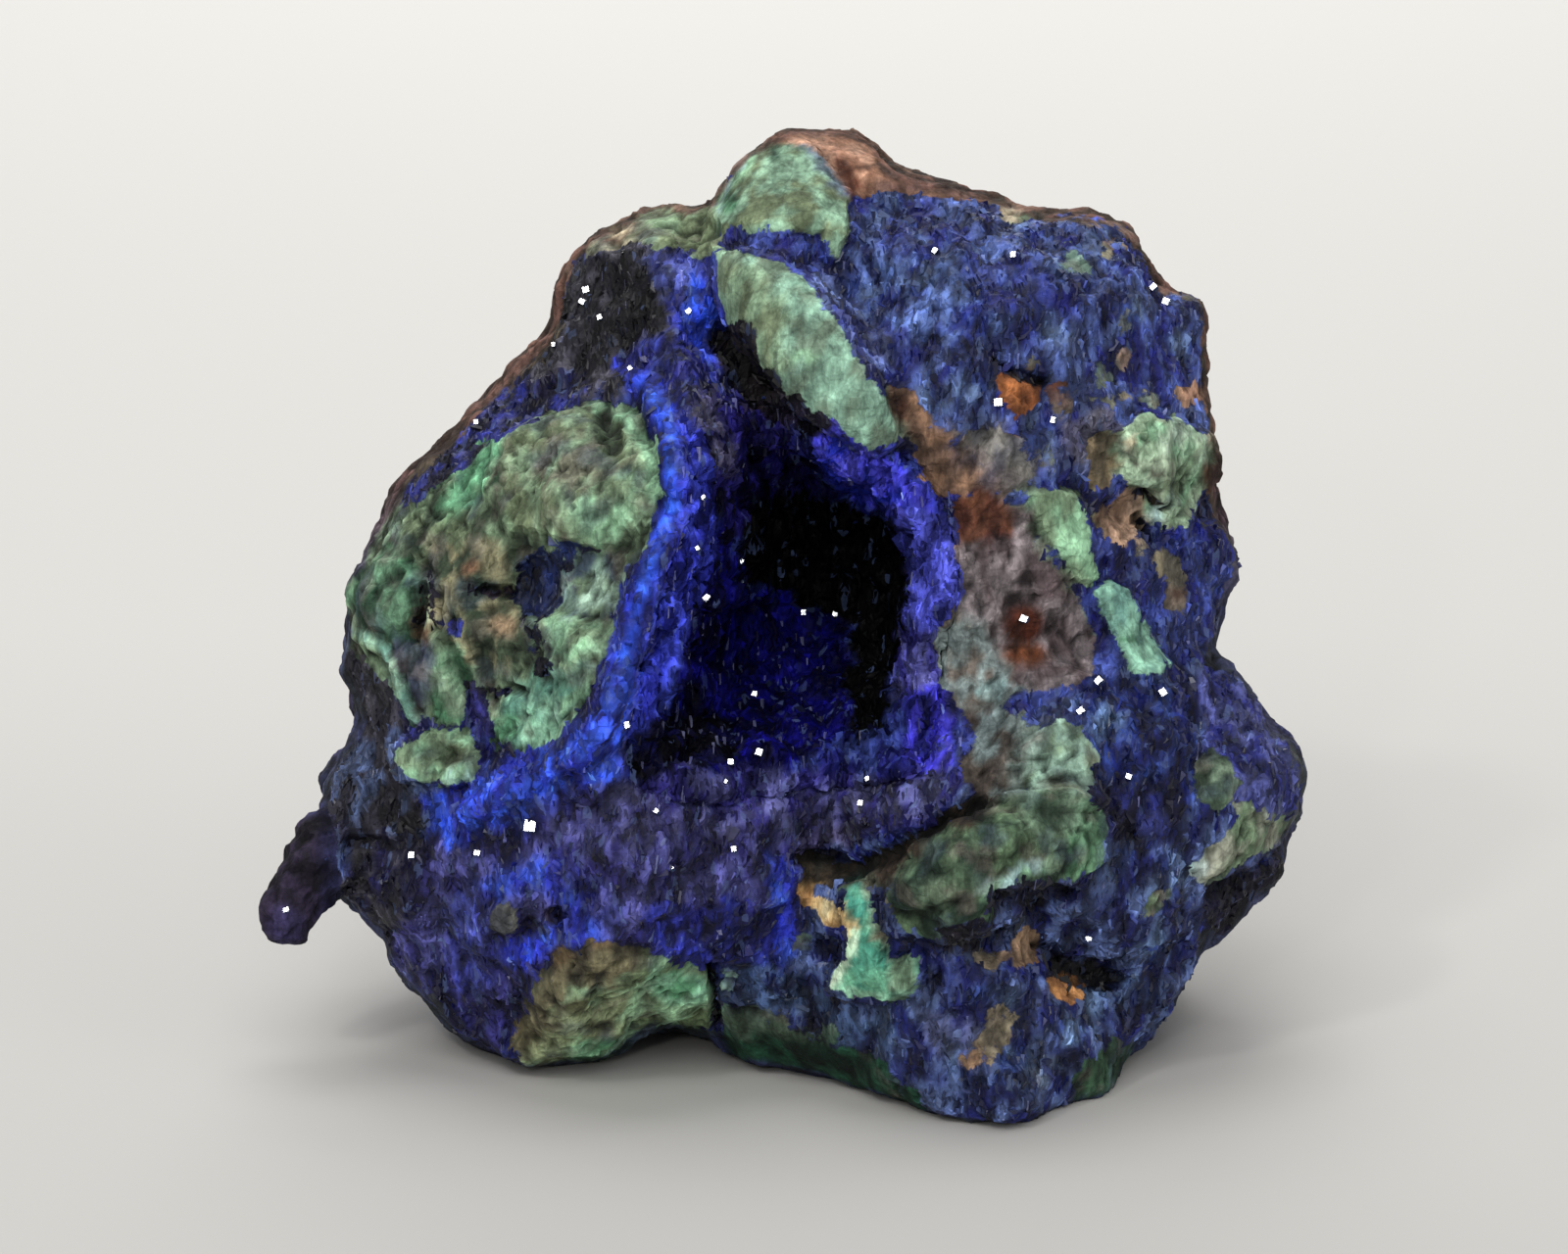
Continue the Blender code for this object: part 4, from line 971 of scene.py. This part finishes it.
# ---- materials --------------------------------------------------------------------------------
class Nodes:
    """A short way to add shader nodes and join them."""

    def __init__(self, name):
        self.material = bpy.data.materials.new(name)
        self.material.use_nodes = True
        self.tree = self.material.node_tree
        self.shader = self.tree.nodes["Principled BSDF"]

    def add(self, kind, links=None, **values):
        node = self.tree.nodes.new(kind)
        for key, value in values.items():
            setattr(node, key, value)
        for socket, source in (links or {}).items():
            self.join(source, node.inputs[socket])
        return node

    def join(self, source, socket):
        if isinstance(source, (int, float, tuple)):
            socket.default_value = source
        else:
            self.tree.links.new(source, socket)

    def set(self, **values):
        """Joins values to the shader's own sockets, whose names have _ for a space."""
        for name, value in values.items():
            self.join(value, self.shader.inputs[name.replace("_", " ")])

    def maths(self, operation, one, other=0.0):
        return self.add("ShaderNodeMath", {0: one, 1: other}, operation=operation).outputs[0]

    def plus(self, one, other):
        return self.maths("ADD", one, other)

    def times(self, *factors):
        total = factors[0]
        for factor in factors[1:]:
            total = self.maths("MULTIPLY", total, factor)
        return total

    def ramp(self, value, low, high, at_low=0.0, at_high=1.0):
        span = {"Value": value, "From Min": low, "From Max": high, "To Min": at_low, "To Max": at_high}
        return self.add("ShaderNodeMapRange", span, clamp=True).outputs["Result"]

    def place(self, stretch=1.0):
        where = self.add("ShaderNodeTexCoord").outputs["Object"]
        scaled = self.add("ShaderNodeMapping", {"Vector": where, "Scale": (1.0, 1.0, 1.0 / stretch)})
        return scaled.outputs["Vector"]

    def grain(self, where, millimetres, detail=3.0, rough=0.55):
        form = {"Vector": where, "Scale": 1000.0 / millimetres, "Detail": detail, "Roughness": rough}
        return self.add("ShaderNodeTexNoise", form).outputs["Fac"]

    def cells(self, where, millimetres, feature="F1"):
        form = {"Vector": where, "Scale": 1000.0 / millimetres}
        return self.add("ShaderNodeTexVoronoi", form, feature=feature)

    def cell_value(self, where, millimetres, channel=0):
        colour = self.cells(where, millimetres).outputs["Color"]
        return self.add("ShaderNodeSeparateColor", {0: colour}).outputs[channel]

    def scale_colour(self, colour, factor):
        return self.add("ShaderNodeVectorMath", {0: colour, "Scale": factor}, operation="SCALE").outputs[0]

    def mix_colour(self, share, one, other):
        node = self.add("ShaderNodeMix", data_type="RGBA")
        for socket, source in zip((0, 6, 7), (share, one, other)):
            self.join(source, node.inputs[socket])
        return node.outputs[2]

    def colour_of(self, name):
        return self.add("ShaderNodeAttribute", attribute_name=name).outputs["Color"]

    def bump(self, height, strength, millimetres):
        form = {"Height": height, "Strength": strength, "Distance": millimetres * MM}
        self.set(Normal=self.add("ShaderNodeBump", form).outputs["Normal"])


def rock_material(name, ior):
    """Azurite and the ground between it, each with its own grain, mixed by what is painted."""
    n = Nodes(name)
    azurite, _, recess_shade = n.add("ShaderNodeSeparateColor", {0: n.colour_of("kind")}).outputs
    where, tall = n.place(), n.place(2.4)
    edge = n.ramp(n.grain(where, 0.9, 5.0, 0.7), 0.3, 0.7, -0.32, 0.32)
    azurite = n.ramp(n.plus(azurite, edge), 0.40, 0.60)
    fleck = n.cell_value(tall, 0.42)
    # azure_tone and earth_tone darken sunk places: painted shade in recesses
    azure_tone = n.times(n.ramp(fleck, 0.0, 1.0, 0.45, 1.60),
                         n.ramp(n.grain(tall, 0.9, 4.0, 0.6), 0.32, 0.68, 0.55, 1.55),
                         n.ramp(recess_shade, 0.35, 0.80, 1.10, 0.55))
    rare = n.times(n.ramp(n.cell_value(tall, 0.50, 1), 0.90, 0.97), 0.30)
    blue = n.mix_colour(rare, n.scale_colour(n.colour_of("blue"), azure_tone), (*tint("steel*1.3"), 1.0))
    veins = n.cells(where, 1.3, "DISTANCE_TO_EDGE").outputs["Distance"]
    earth_tone = n.times(n.ramp(n.grain(tall, 1.1, 6.0, 0.72), 0.34, 0.66, 0.50, 1.50),
                         n.ramp(n.grain(where, 2.2, 3.0, 0.6), 0.35, 0.65, 0.66, 1.30),
                         n.ramp(veins, 0.0, 0.08, 0.76, 1.0),
                         n.ramp(n.cell_value(tall, 0.38), 0.0, 1.0, 0.78, 1.22),
                         n.ramp(recess_shade, 0.30, 0.85, 1.15, 0.28))
    ground = n.scale_colour(n.colour_of("ground"), earth_tone)
    stain = n.times(n.ramp(n.grain(where, 2.4, 4.0), 0.56, 0.70), 0.45)
    ground = n.mix_colour(stain, ground, n.scale_colour(ground, 0.42))
    uneven = n.ramp(n.cell_value(tall, 0.42, 2), 0.0, 1.0, -0.12, 0.12)
    n.set(Base_Color=n.mix_colour(azurite, ground, blue), IOR=ior,
          Roughness=n.plus(n.ramp(azurite, 0.0, 1.0, 0.88, 0.58), uneven))
    height = n.plus(n.grain(where, 0.7, 4.0, 0.65), n.times(fleck, azurite, 0.8))
    n.bump(n.plus(height, n.times(n.grain(where, 0.30), 0.3)), 0.8, 0.20)
    return n.material


def crystal_material(name, ior, rough_low, rough_high):
    n = Nodes(name)
    gloss = n.add("ShaderNodeSeparateColor", {0: n.colour_of("kind")}).outputs[0]
    where = n.place()
    clouds = n.ramp(n.grain(where, 0.5), 0.3, 0.7, 0.65, 1.35)
    uneven = n.ramp(n.grain(where, 0.35, 2.0), 0.3, 0.7, -0.04, 0.04)
    n.set(Base_Color=n.scale_colour(n.colour_of("blue"), clouds), IOR=ior,
          Roughness=n.plus(n.ramp(gloss, 0.0, 0.5, rough_low, rough_high), uneven))
    n.bump(n.grain(where, 0.25, 2.0), 0.25, 0.06)
    return n.material


def floor_material():
    """Pale, and a little lighter towards the back: painted shading that stands in for light falling off towards the
    front.
    """
    n = Nodes("pale_floor")
    back = n.add("ShaderNodeSeparateXYZ", {0: n.place()}).outputs["Y"]
    tone = n.plus(n.ramp(back, -0.05, 0.11, 0.465, 0.545), n.ramp(back, 0.11, 0.42, 0.0, 0.05))
    pale = n.add("ShaderNodeCombineColor", {0: 1.0, 1: 0.982, 2: 0.932}).outputs[0]
    n.set(Base_Color=n.scale_colour(pale, tone), Roughness=0.9, Specular_IOR_Level=0.2)
    return n.material


# ---- stage ------------------------------------------------------------------------------------
def make_floor():
    bm = bmesh.new()
    bmesh.ops.create_grid(bm, x_segments=24, y_segments=24, size=1.6)
    mesh = bpy.data.meshes.new("floor")
    bm.to_mesh(mesh)
    bm.free()
    floor = new_object("floor", mesh)
    floor.data.materials.append(floor_material())


def look_at(made, place, target):
    made.location = Vector(place * MM)
    made.rotation_euler = (Vector(target * MM) - made.location).to_track_quat("-Z", "Y").to_euler()


def make_camera():
    data = bpy.data.cameras.new("camera")
    data.sensor_width = SENSOR
    data.lens = SENSOR * EYE_DISTANCE / (FRAME_WIDTH * FRAME_MM)
    data.clip_start = 0.01
    made = new_object("camera", data)
    look_at(made, EYE, MIDDLE)
    bpy.context.scene.camera = made


def add_light(name, place, size, power, colour=(1.0, 1.0, 1.0), target=MIDDLE):
    data = bpy.data.lights.new(name, "AREA")
    data.shape = "DISK"
    data.size = size * MM
    data.energy = power
    data.color = colour
    look_at(new_object(name, data), np.array(place), np.array(target))


def make_lights():
    add_light("key", KEY_PLACE, 70.0, 0.6, (1.0, 0.98, 0.95))
    add_light("spark", SPARK_PLACE, 40.0, 0.4)
    add_light("soft_top", (-40.0, 150.0, 780.0), 600.0, 3.4)
    add_light("soft_front", (-70.0, -560.0, 560.0), 600.0, 2.85)
    add_light("soft_right", (650.0, -400.0, 380.0), 500.0, 0.9)
    add_light("behind", (0.0, 640.0, 420.0), 500.0, 2.0, target=(0.0, 430.0, 0.0))
    world = bpy.data.worlds.new("studio")
    bpy.context.scene.world = world
    world.use_nodes = True
    background = world.node_tree.nodes["Background"]
    background.inputs["Color"].default_value = (0.86, 0.86, 0.88, 1.0)
    background.inputs["Strength"].default_value = 0.38


# ---- glints -----------------------------------------------------------------------------------
# Where single clear faces shine, and how large they are against the others, as across,down,size.
GLINTS = """
541,843,1.8 954,256,0.95 1034,260,0.95 1177,293,1 1190,308,1.1 598,296,1 594,308,1 1019,411,1.1 1075,429,0.9
721,610,1 1045,632,1.2 640,740,1.1 775,768,1.1 487,871,1 420,873,1.1 292,929,1 1121,695,1.1 1103,726,1.1
1187,707,1.1 1152,793,0.8 1111,958,0.9 770,708,0.9 746,778,0.9 820,625,0.9 852,627,0.8 612,324,0.7
703,318,0.8 565,352,0.7 643,376,0.75 486,431,0.8 757,573,0.65 757,594,0.65 685,886,0.75 749,867,0.8
878,820,0.75 670,828,0.65 712,560,0.6 885,795,0.6 718,508,0.65 741,798,0.6
"""
GLINT_SIZE = (0.40, 0.48)  # least and greatest
GLINT_THICKNESS = 0.6
GLINT_SUNK = 0.45  # how much of that is below the surface
GLINT_SHIFT = 0.15  # how far it is then moved towards the eye
CLEARANCE = 0.6  # above the surface, where a light is looked for from


def tree_of(made):
    mesh = made.data
    mesh.calc_loop_triangles()
    corners = [vertex.co for vertex in mesh.vertices]
    return BVHTree.FromPolygons(corners, [tuple(triangle.vertices) for triangle in mesh.loop_triangles])


def first_met(trees, start, way):
    """Where a ray first meets one of the trees, or None."""
    hits = [tree.ray_cast(Vector(start * MM), Vector(way)) for tree in trees]
    hits = [hit for hit in hits if hit[0] is not None]
    return np.array(min(hits, key=lambda hit: hit[3])[0]) / MM if hits else None


def make_glints(pieces):
    """Single clear faces turned so that they mirror a light that reaches them to the camera."""
    rng = np.random.default_rng(77)
    trees = [tree_of(piece) for piece in pieces]
    feet, ups, sizes = [], [], []
    for px, py, share in map(numbers, GLINTS.split()):
        across, down = (px - FRAME_CENTRE[0]) * FRAME_MM, (FRAME_CENTRE[1] - py) * FRAME_MM
        place = first_met(trees, EYE, unit(MIDDLE + np.array([across, 0.0, 0.0]) + UP_WARD * down - EYE))
        if place is None:
            continue
        to_eye = unit(EYE - place)
        start = place + CLEARANCE * to_eye
        lit = [light for light in (KEY_PLACE, SPARK_PLACE)
               if first_met(trees, start, unit(light - start)) is None]
        face = unit(to_eye + unit((lit or [SPARK_PLACE])[0] - place))
        size = rng.uniform(*GLINT_SIZE) * share
        feet.append(place + GLINT_SHIFT * to_eye - face * GLINT_SUNK)
        ups.append(face)
        sizes.append((size, size * rng.uniform(0.75, 1.1), GLINT_THICKNESS))
    count = len(feet)
    along = rng.normal(size=(count, 3))
    return crystal_mesh("clear_faces", TABLET, np.array(feet), np.array(ups), along, np.array(sizes),
                        np.tile(tint("steel*0.5"), (count, 1)), np.zeros(count))


# ---- where crystals grow ----------------------------------------------------------------------
FRONT_SPLIT = 2.0  # x of the line between the left and the right grains
HOLE = path("740,490 930,490 930,700 900,760 850,740 850,630 740,620".split())  # the hollow's black end


def facing(places, normals):
    """1 where the surface can be seen from the front, 0 behind."""
    return smooth_step(normals @ EYE_WARD, -0.25, 0.0) * smooth_step(to_frame(places)[2], -12.0, -6.0)


def facing_left(places, normals):
    return facing(places, normals) * (places[:, 0] < FRONT_SPLIT)


def facing_right(places, normals):
    return facing(places, normals) * (places[:, 0] >= FRONT_SPLIT)


def facing_back(places, normals):
    return 1.0 - facing(places, normals)


def facing_sparsely(places, normals):
    return 0.3 * facing(places, normals)


def sparsely(places, _):
    return np.full(len(places), 0.3)


def everywhere(places, _):
    return np.ones(len(places))


def out_of_hole(places, _):
    """Nothing in the hollow's black end, some of the rest."""
    px, py, _ = to_frame(places)
    return 0.45 * (area_depth(px, py, HOLE) < 0.0)


# ---- putting it together ----------------------------------------------------------------------
def finish_piece(piece, material):
    piece.data.materials.clear()
    piece.data.materials.append(material)
    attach(piece, "root")


def main():
    noise.seed_set(EDGE_SEED)  # without it noise_vector, which moves the edges, differs from run to run
    bpy.context.scene.view_settings.view_transform = "Standard"
    make_camera()
    make_lights()
    make_floor()
    rock = rock_material("azurite_rock_fine", 1.32)
    deep_rock = rock_material("azurite_hollow_fine", 1.16)
    grain_face = crystal_material("azurite_grain", 1.42, 0.25, 0.60)
    deep_face = crystal_material("azurite_deep_grain", 1.16, 0.50, 0.80)
    blade_face = crystal_material("azurite_blade", 1.55, 0.15, 0.45)
    clear_face = crystal_material("clear_face", 1.90, 0.06, 0.06)

    body, body_skin = make_body()
    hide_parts("azurite_mass")
    finish_piece(body, rock)
    crust, crust_skin = make_crust()
    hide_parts("vug_crust")
    finish_piece(crust, deep_rock)

    outside, inside = (body_skin, False), (crust_skin, True)
    growths = (  # name, form, skin, seed, tries, spacing, where it grows and material
        ("grains_front_left", "grain", outside, 1, 70000, 0.50, facing_left, grain_face),
        ("grains_front_right", "grain", outside, 6, 70000, 0.50, facing_right, grain_face),
        ("grains_back", "grain", outside, 2, 40000, 0.72, facing_back, grain_face),
        ("grains_hollow", "grain", inside, 3, 24000, 0.52, everywhere, deep_face),
        ("blades_outside", "blade", outside, 4, 6000, 1.6, sparsely, blade_face),
        ("streaks_outside", "streak", outside, 8, 9000, 1.9, facing_sparsely, grain_face),
        ("streaks_hollow", "streak", inside, 5, 5000, 1.3, out_of_hole, grain_face),
    )
    pieces = [body, crust]
    for name, form, (skin, hollow), seed, tries, spacing, share, material in growths:
        piece = grow(name, form, skin, hollow, seed, tries, spacing, share)
        finish_piece(piece, material)
        pieces.append(piece)
    bpy.context.view_layer.update()
    finish_piece(make_glints(pieces), clear_face)


main()
bpy.context.view_layer.update()
